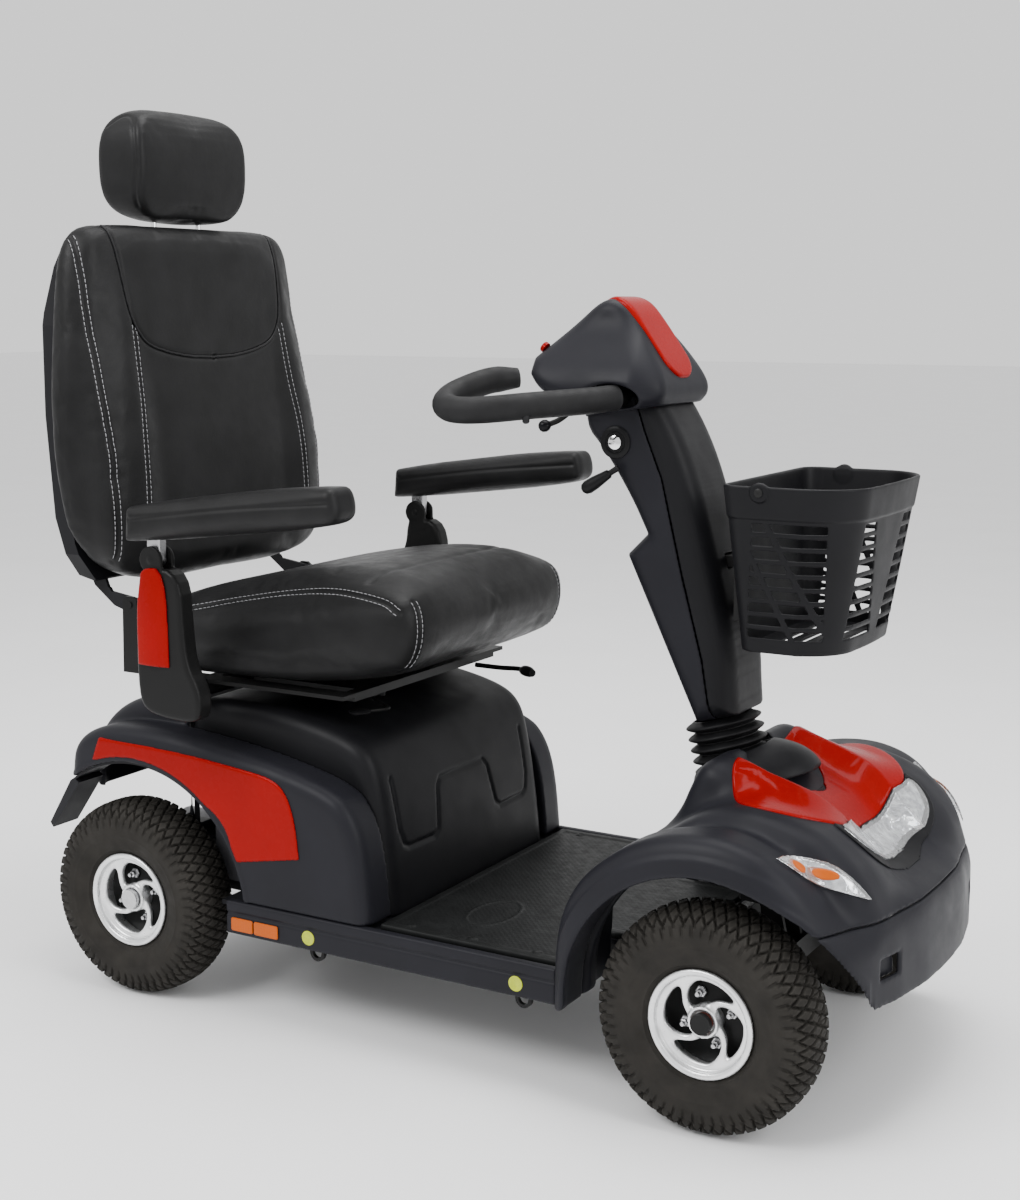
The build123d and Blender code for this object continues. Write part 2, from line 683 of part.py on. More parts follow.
lever_low = cover_top + 1.5
with BuildPart() as swivel_lever:
    rod((-200, -60, lever_low), (-200, -60, swivel_low - clear_gap), 7)
    bent_bar([(-200, -60, lever_low + 3), (-190, -100, lever_low + 3), (-120, -150, lever_low + 3),
              (-150, -188, lever_low + 3)], [20, 16], 2.5)
    rod((-150, -188, lever_low), (-150, -188, lever_low + 6), 17)
write(swivel_lever, "swivel_lever")

with BuildPart() as seat_frame:
    block((-380, -150), (-150, 150), (rail_high + clear_gap, seat_plate_high))
    block((-430, -408), (-322, 322), (480, 502))
    block((-412, -376), (-60, 60), (rail_high + clear_gap, seat_plate_high))
    block((-170, -150), (-200, 200), (rail_high + clear_gap, 502))
    for y in both_sides(196, 230):
        block((-570, -150), (y[0], y[1]), (496, 502))
    for y in both_sides(224, 230):
        slab([(-578, 496), (-542, 496), (-546, 612), (-554, 618), (-568, 618), (-575, 612)], y)
    for y in both_sides(212, 232):
        rod((hinge_x, y[0], hinge_z), (hinge_x, y[1], hinge_z), 5)
write(seat_frame, "seat_frame")

with BuildPart() as slide_lever:
    rod((-160, 152, 481), (-160, 168, 481), 6)
    bent_bar([(-160, 160, 481), (-110, 160, 481), (-70, 150, 485), (-40, 128, 487)], [20, 20], 4)
    rod((-40, 128, 484), (-32, 124, 484), 9)
write(slide_lever, "slide_lever")

cushion_view = [(-538, 506), (-380, 506), (-200, 512), (-60, 538), (-34, 556), (-22, 600), (-30, 648), (-60, 660),
                (-160, 669), (-349, 640), (-520, 606), (-538, 596)]
with BuildPart() as seat_cushion:
    slab(cushion_view, (-cushion_half, cushion_half))
    slab([(-440, 590), (-440, 622), (-349, 655), (-160, 684), (-70, 674), (-52, 650), (-52, 590)], (-190, 190))
write(seat_cushion, "seat_cushion")

# ---- armrests -----------------------------------------------------------------
with BuildPart() as armrest_posts:
    for side in (-1, 1):
        y = (armrest_side - 16, armrest_side + 16) if side > 0 else (-armrest_side - 16, 16 - armrest_side)
        slab([(-436, 494), (-420, 478), (-372, 478), (-362, 490), (-366, 688), (-398, 688), (-436, 640)], y)
        block((-431, -407), (side * 335 - 13, side * 335 + 13), (478, 502))
        rod((-394, side * 333, 705), (-394, side * 340, 705), 20)
        rod((-394, side * 358, 705), (-394, side * 365, 705), 20)
        rod((-394, side * 333, 705), (-394, side * 365, 705), 5)
write(armrest_posts, "armrest_posts")

with BuildPart() as armrest_post_covers:
    for side in (-1, 1):
        y = side * (armrest_side + 17.5)
        slab([(-438, 548), (-362, 548), (-367, 688), (-398, 688), (-436, 640)], (y - 1.5, y + 1.5))
write(armrest_post_covers, "armrest_post_covers")

for hand, side in (("right", -1), ("left", 1)):
    with BuildPart() as armrest:
        middle = side * armrest_side
        slab([(-432, 729), (-428, 781), (-70, 830), (-56, 822), (-52, 790), (-62, 777), (-100, 772)],
             (middle - 32, middle + 32))
        block((-406, -382), (middle - 8, middle + 8), (705, 740))
        rod((-394, middle - 8, 705), (-394, middle + 8, 705), 12)
        rod((-394, middle - 9, 705), (-394, middle + 9, 705), 5 + running_gap, mode=Mode.SUBTRACT)
    write(armrest, f"armrest_{hand}")

# ---- backrest and headrest ----------------------------------------------------
back_half_view = [(0, 628), (262, 636), (292, 700), (303, 790), (303, 880), (290, 1010), (266, 1130), (240, 1186),
                  (205, 1206), (0, 1212)]


def back_outline(grow):
    """The backrest's outline seen from the front, as Y and Z points."""
    left = [(y + grow if y else 0, z) for y, z in back_half_view]
    return [*left, *((-y, z) for y, z in reversed(left) if y)]


backrest_profile = [(-560, 620), (-532, 660), (-530, 760), (-536, 860), (-556, 980), (-578, 1100), (-592, 1195),
                    (-618, 1212), (-660, 1190), (-668, 1080), (-664, 900), (-640, 700), (-612, 628)]
with BuildPart() as backrest_cushion:
    slab(backrest_profile, (-305, 305))
    face_slab(back_outline(0), (-720, -500), mode=Mode.INTERSECT)
    for y in (-stem_side, stem_side):
        rod((stem_x, y, 1092), (stem_x, y, 1220), stem_radius + clear_gap, mode=Mode.SUBTRACT)
write(backrest_cushion, "backrest_cushion")

with BuildPart() as backrest_shell:
    slab([(-612, 650), (-640.5, 700), (-664.5, 900), (-668.5, 1080), (-664, 1160), (-674, 1160), (-690, 1060),
          (-692, 900), (-680, 740), (-650, 648), (-620, 640)], (-262, 262))
    face_slab(back_outline(-22), (-720, -500), mode=Mode.INTERSECT)
    for y in both_sides(216, 222):
        slab([(-548, 594), (-548, 614), (-606, 622), (-624, 652), (-650, 652), (-640, 630), (-600, 600),
              (-572, 592)], y)
        rod((hinge_x, y[0] - 1, hinge_z), (hinge_x, y[1] + 1, hinge_z), 5 + running_gap, mode=Mode.SUBTRACT)
    slab(backrest_profile, (-305, 305), mode=Mode.SUBTRACT)
    for y in (-stem_side, stem_side):
        rod((stem_x, y, 1092), (stem_x, y, 1220), stem_radius + clear_gap, mode=Mode.SUBTRACT)
write(backrest_shell, "backrest_shell")

with BuildPart() as headrest_pad:
    slab([(-604, 1232), (-596, 1300), (-606, 1368), (-634, 1384), (-668, 1376), (-684, 1320), (-676, 1240),
          (-640, 1222)], (-122, 122))
    for y in (-stem_side, stem_side):
        rod((stem_x, y, 1210), (stem_x, y, 1250), stem_radius, mode=Mode.SUBTRACT)
write(headrest_pad, "headrest_pad")

with BuildPart() as headrest_stems:
    for side in (-1, 1):
        rod((stem_x, side * stem_side, 1100), (stem_x, side * stem_side, 1250), stem_radius)
write(headrest_stems, "headrest_stems")
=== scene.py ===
import json
import math

import bpy
import numpy as np
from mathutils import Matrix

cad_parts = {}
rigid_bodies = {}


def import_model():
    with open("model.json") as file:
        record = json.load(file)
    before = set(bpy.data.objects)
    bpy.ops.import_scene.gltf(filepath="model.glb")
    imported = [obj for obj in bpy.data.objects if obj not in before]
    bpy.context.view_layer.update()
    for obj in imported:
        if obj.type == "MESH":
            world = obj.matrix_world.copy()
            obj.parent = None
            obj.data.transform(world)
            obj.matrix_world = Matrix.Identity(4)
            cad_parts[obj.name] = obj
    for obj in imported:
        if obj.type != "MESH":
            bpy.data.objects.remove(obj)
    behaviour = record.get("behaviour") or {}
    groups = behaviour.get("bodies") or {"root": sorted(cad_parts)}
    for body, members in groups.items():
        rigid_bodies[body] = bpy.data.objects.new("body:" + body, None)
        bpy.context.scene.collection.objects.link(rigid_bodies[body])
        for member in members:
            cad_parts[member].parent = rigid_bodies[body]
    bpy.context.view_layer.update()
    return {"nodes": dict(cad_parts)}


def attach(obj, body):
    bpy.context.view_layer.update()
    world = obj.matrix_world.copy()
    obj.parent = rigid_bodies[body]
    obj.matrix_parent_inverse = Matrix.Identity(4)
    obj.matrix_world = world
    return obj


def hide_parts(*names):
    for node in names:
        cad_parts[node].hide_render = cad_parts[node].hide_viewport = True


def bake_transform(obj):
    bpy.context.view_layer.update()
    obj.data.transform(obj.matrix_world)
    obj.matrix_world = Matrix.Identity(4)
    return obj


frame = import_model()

import openvdb
from mathutils import Vector
from mathutils.bvhtree import BVHTree
from mathutils.kdtree import KDTree

# The mobility scooter's looks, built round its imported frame. Shapes are worked out in
# millimetres, +X forward, +Y left, +Z up, and become metres when their mesh is made.
MM = 0.001


# ---- sizes shared by several pieces ---------------------------------------------
axle_height = 155
front_axle_x = 467
rear_axle_x = -507
wheel_side = 277
arch_radius = 216
front_arch = 197
skin = 7  # wall thickness of the moulded shells
steer_x = 365
steer_z = 451
steer_rake = math.radians(16)
shoulder_side = 215
fender_side = 333
hood_side = 150
bumper_seam = 290
bumper_rear = 556
cover_side = 234
body_side = 298
column_half = 70
console_half = 108
armrest_side = 349
armrest_pivot = (-394, 705)
key_place = (214, -column_half, 880)
dash_middle = (100, 0, 1008)
horn_place = (100, -62, 1008)
dash_way = (-0.8241, 0, 0.5665)
tyre_gap_side = 262
hands = (("right", -1), ("left", 1))


# ---- shape tools ------------------------------------------------------------------
def smooth_max(a, b, width):
    """The larger of two distances, with the corner between them rounded over a width."""
    return np.maximum(a, b) + np.maximum(width - np.abs(a - b), 0) ** 2 / (4 * width)


def smooth_min(a, b, width):
    """The smaller of two distances, with the corner between them filled over a width."""
    return -smooth_max(-a, -b, width)


def step_between(low, high, value):
    """0 below low, 1 above high, and an even S-curve between."""
    t = np.clip((value - low) / (high - low), 0, 1)
    return t * t * (3 - 2 * t)


def soft(points, rounds=3, sharp=()):
    """A closed outline with its corners cut round, except the points numbered in sharp."""
    kept = []
    for number, point in enumerate(points):
        kept += [point] * (3 if number in sharp else 1)
    p = np.array(kept, float)
    for _ in range(rounds):
        q = np.roll(p, -1, axis=0)
        p = np.stack([0.75 * p + 0.25 * q, 0.25 * p + 0.75 * q], axis=1).reshape(-1, 2)
    return p


def mirrored(points, axis=1):
    """An outline completed by the reflection of all but its first and last points."""
    sign = np.array([1, -1]) if axis else np.array([-1, 1])
    return [*points, *(tuple(sign * point) for point in reversed(points[1:-1]))]


def outline_distance(points, u, v):
    """Distance to a closed outline, negative inside, at the points of u and v."""
    u, v = np.broadcast_arrays(u, v)
    nearest = np.full(u.shape, 1e12)
    inside = np.zeros(u.shape, bool)
    p = np.array(points, float)
    for a, b in zip(p, np.roll(p, -1, axis=0)):
        edge = b - a
        length = float(edge @ edge)
        if length < 1e-9:
            continue
        t = np.clip(((u - a[0]) * edge[0] + (v - a[1]) * edge[1]) / length, 0, 1)
        nearest = np.minimum(nearest, (u - a[0] - edge[0] * t) ** 2 + (v - a[1] - edge[1] * t) ** 2)
        if edge[1] != 0:
            crossing = a[0] + (v - a[1]) * edge[0] / edge[1]
            inside ^= ((a[1] > v) != (b[1] > v)) & (u < crossing)
    return np.sqrt(nearest) * np.where(inside, -1, 1)


def line_distance(points, u, v):
    """Distance to an open line of points, at the points of u and v."""
    nearest = 1e12
    p = np.array(points, float)
    for a, b in zip(p, p[1:]):
        edge = b - a
        t = np.clip(((u - a[0]) * edge[0] + (v - a[1]) * edge[1]) / float(edge @ edge), 0, 1)
        nearest = np.minimum(nearest, (u - a[0] - edge[0] * t) ** 2 + (v - a[1] - edge[1] * t) ** 2)
    return np.sqrt(nearest)


class Grid:
    """Evenly spaced points over a box, on which a shape is written as distances."""

    def __init__(self, low, high, step):
        self.low, self.step = np.array(low, float), step
        axes = [a + step * np.arange(int(math.ceil((b - a) / step)) + 1) for a, b in zip(low, high)]
        self.x, self.y, self.z = axes[0][:, None, None], axes[1][None, :, None], axes[2][None, None, :]
        self.shape = tuple(len(a) for a in axes)

    def side(self, points):
        return outline_distance(points, self.x[:, 0, :], self.z[0, :, :])[:, None, :]

    def plan(self, points):
        return outline_distance(points, self.x[:, :, 0], self.y[:, :, 0])[:, :, None]

    def face(self, points):
        return outline_distance(points, self.y[0, :, :], self.z[0, :, :])[None, :, :]

    def round_y(self, x, z):
        """Distance from an axis along Y through a point."""
        return np.hypot(self.x - x, self.z - z)

    def steering(self):
        """Height along the steering axis from the tilt pivot, and distance from that axis."""
        dx, dz = self.x - steer_x, self.z - steer_z
        height = dz * math.cos(steer_rake) - dx * math.sin(steer_rake)
        across = dx * math.cos(steer_rake) + dz * math.sin(steer_rake)
        return height, np.sqrt(across ** 2 + self.y ** 2)


def mesh_object(name, points, faces, material, body, nodes=(), sharp_angle=None):
    """A mesh from points in millimetres that rides on a body and may stand for CAD nodes."""
    mesh = bpy.data.meshes.new(name)
    points = np.asarray(points, float) * MM
    faces = [np.asarray(f) for f in faces if len(f)]
    mesh.vertices.add(len(points))
    mesh.vertices.foreach_set("co", points.ravel())
    corners = np.concatenate([f.ravel() for f in faces])
    sizes = np.concatenate([np.full(len(f), f.shape[1]) for f in faces])
    mesh.loops.add(len(corners))
    mesh.loops.foreach_set("vertex_index", corners.astype(np.int32))
    mesh.polygons.add(len(sizes))
    mesh.polygons.foreach_set("loop_start", (np.cumsum(sizes) - sizes).astype(np.int32))
    mesh.update(calc_edges=True)
    mesh.validate()
    mesh.polygons.foreach_set("use_smooth", np.ones(len(sizes), bool))
    if sharp_angle:
        mesh.set_sharp_from_angle(angle=math.radians(sharp_angle))
    mesh.materials.append(material)
    piece = bpy.data.objects.new(name, mesh)
    bpy.context.scene.collection.objects.link(piece)
    if body:
        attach(piece, body)
    if nodes:
        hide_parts(*nodes)
    return piece


def skin_of(grid, distance):
    """The points and four-sided faces of the surface where the distance is zero."""
    values = np.ascontiguousarray(np.broadcast_to(distance, grid.shape), dtype=np.float32)
    values = np.clip(values, -4 * grid.step, 4 * grid.step)
    volume = openvdb.FloatGrid(4 * grid.step)
    volume.copyFromArray(values)
    points, quads = volume.convertToQuads(0.0)
    points = grid.low + points.astype(float) * grid.step
    quads = quads.astype(np.int64)
    a, b, c, d = (points[quads[:, k]] for k in range(4))
    middle = (a + b + c + d) / 4
    outward = (np.cross(c - a, d - b) * (middle - points.mean(axis=0))).sum()
    if outward < 0:
        quads = quads[:, ::-1]
    return points, quads


def moulded(name, grid, distance, look, body, nodes=(), sharp_angle=None):
    """A moulded piece: the surface of a shape written on a grid."""
    return joined(name, [skin_of(grid, distance)], look, body, nodes, sharp_angle)


def frame_axes(direction):
    """Two unit vectors square to a direction and to each other."""
    axis = np.array(direction, float)
    axis /= np.linalg.norm(axis)
    other = np.array((0, 0, 1)) if abs(axis[2]) < 0.9 else np.array((1, 0, 0))
    first = np.cross(axis, other)
    first /= np.linalg.norm(first)
    return axis, first, np.cross(axis, first)


def turned(origin, direction, profile, turns=48):
    """Points and faces of an outline of (height, radius) turned about an axis."""
    axis, first, second = frame_axes(direction)
    profile = np.array(profile, float)
    angle = np.arange(turns) * 2 * math.pi / turns
    ring = np.cos(angle)[:, None] * first + np.sin(angle)[:, None] * second
    points = np.array(origin) + profile[None, :, :1] * axis + profile[None, :, 1:] * ring[:, None, :]
    rows = len(profile)
    i, j = np.meshgrid(np.arange(turns), np.arange(rows - 1), indexing="ij")
    i, j = i.ravel(), j.ravel()
    k = (i + 1) % turns
    quads = np.stack([i * rows + j, k * rows + j, k * rows + j + 1, i * rows + j + 1], axis=1)
    return points.reshape(-1, 3), quads


def joined(name, parts, look, body, nodes=(), sharp_angle=None):
    """One piece from several meshes, each its points and then its sets of faces."""
    points, faces, count = [], [], 0
    for part_points, *part_faces in parts:
        points.append(part_points)
        faces += [each + count for each in part_faces]
        count += len(part_points)
    return mesh_object(name, np.concatenate(points), faces, look[0], body, nodes, sharp_angle)


def lathe(name, parts, look, body, nodes=(), sharp_angle=40):
    """One piece made of several turned outlines: (origin, direction, profile, turns)."""
    return joined(name, [turned(*part) for part in parts], look, body, nodes, sharp_angle)


def smooth_path(points, spacing):
    """Evenly spaced points along a smooth line that passes through the given points."""
    p = np.array(points, float)
    ends = np.concatenate([[2 * p[0] - p[1]], p, [2 * p[-1] - p[-2]]])
    t = np.linspace(0, 1, 24, endpoint=False)[:, None]
    line = []
    for a, b, c, d in zip(ends, ends[1:], ends[2:], ends[3:]):
        line.append(0.5 * (2 * b + (c - a) * t + (2 * a - 5 * b + 4 * c - d) * t ** 2
                           + (3 * b - a - 3 * c + d) * t ** 3))
    line = np.concatenate([*line, p[-1:]])
    run = np.concatenate([[0], np.cumsum(np.linalg.norm(np.diff(line, axis=0), axis=1))])
    wanted = np.linspace(0, run[-1], max(2, int(run[-1] / spacing) + 1))
    return np.stack([np.interp(wanted, run, line[:, k]) for k in range(3)], axis=1)


def tube_mesh(path, radii, turns=20):
    """Points and faces of a round tube that follows a path, closed at both ends."""
    path = np.asarray(path, float)
    radii = np.broadcast_to(radii, len(path))
    along = np.gradient(path, axis=0)
    along /= np.linalg.norm(along, axis=1)[:, None]
    _, first, _ = frame_axes(along[0])
    rings = []
    for point, direction, radius in zip(path, along, radii):
        first = first - direction * (first @ direction)
        first /= np.linalg.norm(first)
        second = np.cross(direction, first)
        angle = np.arange(turns)[:, None] * 2 * math.pi / turns
        rings.append(point + radius * (np.cos(angle) * first + np.sin(angle) * second))
    points = np.concatenate([*rings, path[:1], path[-1:]])
    i, j = np.meshgrid(np.arange(len(path) - 1), np.arange(turns), indexing="ij")
    i, j = i.ravel(), j.ravel()
    k = (j + 1) % turns
    quads = np.stack([i * turns + j, i * turns + k, (i + 1) * turns + k, (i + 1) * turns + j], axis=1)
    j = np.arange(turns)
    k = (j + 1) % turns
    last = (len(path) - 1) * turns
    start, end = len(path) * turns, len(path) * turns + 1
    caps = np.concatenate([np.stack([k, j, np.full(turns, start)], axis=1),
                           np.stack([last + j, last + k, np.full(turns, end)], axis=1)])
    return points, quads, caps


def bar(name, routes, look, body, nodes=(), spacing=4, sharp_angle=50):
    """Round bars, each a list of points with one radius or a radius per even step."""
    parts = []
    for route, radius in routes:
        path = smooth_path(route, spacing)
        radius = np.atleast_1d(radius)
        radii = np.interp(np.linspace(0, 1, len(path)), np.linspace(0, 1, len(radius)), radius)
        parts.append(tube_mesh(path, radii))
    return joined(name, parts, look, body, nodes, sharp_angle)


def sides(*points):
    """The same points for the right side and the left side."""
    return [[(x, side * y, z) for x, y, z in points] for side in (-1, 1)]


# ---- materials ----------------------------------------------------------------------
class Look:
    """A procedural material: a principled shader with grain, mottling and edge wear."""

    def __init__(self, name, rough, metal=0.0, coat=0.0, coat_rough=0.05, specular=0.5):
        self.material = bpy.data.materials.new(name)
        self.material.use_nodes = True
        self.tree = self.material.node_tree
        self.shader = self.tree.nodes["Principled BSDF"]
        self.shader.inputs["Roughness"].default_value = rough
        self.shader.inputs["Metallic"].default_value = metal
        self.shader.inputs["Coat Weight"].default_value = coat
        self.shader.inputs["Coat Roughness"].default_value = coat_rough
        self.shader.inputs["Specular IOR Level"].default_value = specular
        self.place = self.node("ShaderNodeTexCoord").outputs["Object"]
        self.height = None

    def node(self, kind, **values):
        made = self.tree.nodes.new(kind)
        for key, value in values.items():
            setattr(made, key, value)
        return made

    def link(self, source, target):
        self.tree.links.new(source, target)

    def noise(self, scale, detail=3.0, rough=0.5, stretch=None):
        made = self.node("ShaderNodeTexNoise")
        made.inputs["Scale"].default_value = scale
        made.inputs["Detail"].default_value = detail
        made.inputs["Roughness"].default_value = rough
        place = self.place
        if stretch:
            mapping = self.node("ShaderNodeMapping")
            mapping.inputs["Scale"].default_value = stretch
            self.link(place, mapping.inputs["Vector"])
            place = mapping.outputs["Vector"]
        self.link(place, made.inputs["Vector"])
        return made.outputs["Fac"]

    def cells(self, scale):
        made = self.node("ShaderNodeTexVoronoi", feature="DISTANCE_TO_EDGE")
        made.inputs["Scale"].default_value = scale
        self.link(self.place, made.inputs["Vector"])
        return made.outputs["Distance"]

    def remap(self, source, low, high, to_low, to_high):
        made = self.node("ShaderNodeMapRange")
        for name, value in (("From Min", low), ("From Max", high), ("To Min", to_low), ("To Max", to_high)):
            made.inputs[name].default_value = value
        self.link(source, made.inputs["Value"])
        return made.outputs["Result"]

    def colour(self, source, low, dark, high, light):
        """Base colour that runs from dark to light as the source runs from low to high."""
        ramp = self.node("ShaderNodeValToRGB")
        ramp.color_ramp.elements[0].position = low
        ramp.color_ramp.elements[0].color = (*dark, 1)
        ramp.color_ramp.elements[1].position = high
        ramp.color_ramp.elements[1].color = (*light, 1)
        self.link(source, ramp.inputs["Fac"])
        self.link(ramp.outputs["Color"], self.shader.inputs["Base Color"])
        self.base = ramp.outputs["Color"]

    def wear(self, light, low=0.56, high=0.66):
        """A lighter tone where the surface bends outwards, as on rubbed edges."""
        curve = self.node("ShaderNodeNewGeometry").outputs["Pointiness"]
        mix = self.node("ShaderNodeMix", data_type="RGBA")
        self.link(self.remap(curve, low, high, 0, 1), mix.inputs["Factor"])
        self.link(self.base, mix.inputs[6])
        mix.inputs[7].default_value = (*light, 1)
        self.link(mix.outputs[2], self.shader.inputs["Base Color"])

    def roughness(self, source, low, high):
        self.link(self.remap(source, 0.3, 0.7, low, high), self.shader.inputs["Roughness"])

    def bump(self, source, depth, strength=1.0):
        """Surface relief of a depth in millimetres, added to any relief already there."""
        made = self.node("ShaderNodeBump")
        made.inputs["Distance"].default_value = depth * MM
        made.inputs["Strength"].default_value = strength
        self.link(source, made.inputs["Height"])
        if self.height is not None:
            self.link(self.height, made.inputs["Normal"])
        self.height = made.outputs["Normal"]
        self.link(self.height, self.shader.inputs["Normal"])


def moulded_plastic(name, tone, rough, grain=900, depth=0.12):
    """Satin moulded shell with a fine spark-eroded grain."""
    look = Look(name, rough, specular=0.12)
    mottle = look.noise(9, 4)
    look.colour(mottle, 0.3, [c * 0.9 for c in tone], 0.7, [c * 1.12 for c in tone])
    look.wear([c * 1.9 for c in tone])
    look.roughness(look.noise(24, 5), rough - 0.05, rough + 0.06)
    look.bump(look.noise(grain, 2, 0.6), depth)
    look.bump(look.noise(38, 2), 0.25, 0.4)
    return look.material


def lacquer(name, tone, rough=0.16):
    """High-gloss lacquered plastic with a clear coat and a faint ripple."""
    look = Look(name, rough, coat=0.1, coat_rough=0.06, specular=0.04)
    look.colour(look.noise(6, 2), 0.35, [c * 0.92 for c in tone], 0.65, [c * 1.06 for c in tone])
    look.roughness(look.noise(60, 3), rough - 0.03, rough + 0.05)
    look.bump(look.noise(14, 1), 0.25, 0.25)
    return look.material


def leather():
    """Grained black vinyl leather."""
    look = Look("seat_leather_look", 0.42, specular=0.14)
    look.colour(look.noise(16, 4), 0.3, (0.006, 0.006, 0.0062), 0.7, (0.01, 0.01, 0.0104))
    look.wear((0.016, 0.016, 0.017), 0.53, 0.62)
    look.roughness(look.noise(45, 4), 0.36, 0.5)
    look.bump(look.cells(520), 0.35, 0.55)
    look.bump(look.noise(140, 4, 0.6), 0.5, 0.35)
    look.bump(look.noise(20, 3), 2.2, 0.25)
    return look.material


def rubber(name, tone, rough, grain=420):
    """Matt rubber with a dusty bloom."""
    look = Look(name, rough, specular=0.12)
    look.colour(look.noise(22, 5, 0.6), 0.32, [c * 0.75 for c in tone], 0.72, [c * 1.35 for c in tone])
    look.wear([c * 2.1 for c in tone], 0.53, 0.64)
    look.roughness(look.noise(70, 4), rough - 0.08, rough + 0.08)
    look.bump(look.noise(grain, 4, 0.65), 0.22)
    return look.material


def metal(name, tone, rough, brushed=None, coat=0.0):
    """Metal with fine tool marks."""
    look = Look(name, rough, metal=1.0, coat=coat)
    marks = look.noise(260, 4, 0.6, stretch=brushed)
    look.colour(look.noise(30, 4), 0.3, [c * 0.86 for c in tone], 0.7, tone)
    look.roughness(marks, max(rough - 0.08, 0.04), rough + 0.1)
    look.bump(marks, 0.06, 0.6)
    return look.material


def machined_alloy():
    """Silver-lacquered cast alloy with a fine noise grain."""
    look = Look("rim_alloy_look", 0.3, metal=0.85, coat=0.35, coat_rough=0.12)
    look.colour(look.noise(40, 3), 0.3, (0.7, 0.705, 0.71), 0.7, (0.84, 0.845, 0.85))
    look.roughness(look.noise(170, 4, 0.6), 0.24, 0.4)
    look.bump(look.noise(600, 2), 0.05, 0.5)
    return look.material


def lens(name, tone, rough=0.05, transmission=0.9):
    """Clear or tinted moulded lens."""
    look = Look(name, rough, coat=0.08, coat_rough=0.02, specular=0.2)
    look.shader.inputs["Transmission Weight"].default_value = transmission
    look.shader.inputs["IOR"].default_value = 1.45
    look.colour(look.noise(20, 2), 0.3, [c * 0.95 for c in tone], 0.7, tone)
    look.bump(look.noise(120, 2), 0.12, 0.3)
    return look.material


graphite = moulded_plastic("graphite_shell_look", (0.0105, 0.0105, 0.0135), 0.44), "graphite_shell"
black = moulded_plastic("black_shell_look", (0.0058, 0.0058, 0.0068), 0.44, 1100, 0.1), "black_shell"
control = (moulded_plastic("control_plastic_look", (0.006, 0.006, 0.0065), 0.36, 1300, 0.06),
           "control_plastic")
red = lacquer("red_gloss_look", (0.22, 0.0, 0.0), 0.26), "red_gloss"
gloss = lacquer("gloss_black_look", (0.006, 0.006, 0.007), 0.12), "gloss_black"
hide = leather(), "seat_leather"
tyre_look = rubber("tyre_rubber_look", (0.018, 0.0165, 0.0145), 0.72), "tyre_rubber"
mat_look = rubber("floor_rubber_look", (0.008, 0.0085, 0.0085), 0.5, 700), "floor_rubber"
soft_look = rubber("soft_rubber_look", (0.007, 0.007, 0.0075), 0.5, 600), "soft_rubber"
grip_look = rubber("grip_foam_look", (0.012, 0.012, 0.0125), 0.55, 1200), "grip_foam"
alloy = machined_alloy(), "rim_alloy"
steel = metal("axle_steel_look", (0.52, 0.52, 0.53), 0.3, (1, 8, 1)), "axle_steel"
paint = moulded_plastic("frame_paint_look", (0.007, 0.007, 0.007), 0.38, 700, 0.08), "frame_paint"
chrome = metal("key_metal_look", (0.86, 0.86, 0.87), 0.12), "key_metal"
cast = metal("cast_housing_look", (0.16, 0.16, 0.165), 0.5), "cast_housing"
case = moulded_plastic("battery_case_look", (0.05, 0.05, 0.055), 0.5), "battery_case"
clear = lens("clear_lens_look", (0.95, 0.96, 0.97)), "clear_lens"
amber = lens("amber_lens_look", (0.42, 0.075, 0.0), 0.35, 0.0), "amber_lens"
red_lens = lens("red_lens_look", (0.3, 0.0, 0.0), 0.25, 0.0), "red_lens"
thread_look = Look("thread_look", 0.75)
thread_look.colour(thread_look.noise(900, 2), 0.3, (0.2, 0.2, 0.21), 0.7, (0.32, 0.32, 0.33))
thread = thread_look.material, "seat_leather"
reflector_look = Look("headlight_mirror_look", 0.12, metal=1.0)
reflector_look.colour(reflector_look.noise(90, 2), 0.35, (0.45, 0.46, 0.48), 0.65, (0.92, 0.93, 0.94))
reflector_look.bump(reflector_look.cells(75), 2.2, 0.7)
mirror = reflector_look.material, "rim_alloy"
yellow_look = Look("yellow_disc_look", 0.35)
yellow_look.colour(yellow_look.noise(200, 2), 0.3, (0.36, 0.42, 0.0), 0.7, (0.44, 0.5, 0.0))
yellow = yellow_look.material, "amber_lens"
rust = rubber("bearing_seal_look", (0.09, 0.022, 0.016), 0.6), "soft_rubber"

node_looks = {"half_shaft_right": steel, "half_shaft_left": steel, "knuckle_right": paint,
              "knuckle_left": paint, "tie_rod": steel, "chassis_frame": paint, "seat_post": steel,
              "drive_unit": cast, "batteries": case, "floor_pan": black, "steering_stem": paint,
              "tiller_post": paint, "swivel_plate": paint, "seat_frame": paint, "headrest_stems": chrome,
              "mudflaps": black, "backrest_shell": black}
for node, look in node_looks.items():
    for material_slot in frame["nodes"][node].material_slots:
        material_slot.material = look[0]


# ---- wheels ---------------------------------------------------------------------------
def tyre_section(count):
    """The tyre's outer section as evenly spaced (across, radius) points, bead to bead."""
    half = [(0, 155), (20, 154), (36, 148), (44, 137), (48, 118), (46, 98), (38, 80), (31, 71)]
    corner = np.array([(-a, r) for a, r in reversed(half)] + half[1:], float)
    for _ in range(2):
        cut = np.stack([0.75 * corner[:-1] + 0.25 * corner[1:], 0.25 * corner[:-1] + 0.75 * corner[1:]],
                       axis=1)
        corner = np.concatenate([corner[:1], cut.reshape(-1, 2), corner[-1:]])
    run = np.concatenate([[0], np.cumsum(np.linalg.norm(np.diff(corner, axis=0), axis=1))])
    even = np.linspace(0, run[-1], count)
    return np.stack([np.interp(even, run, corner[:, k]) for k in range(2)], axis=1), even - run[-1] / 2


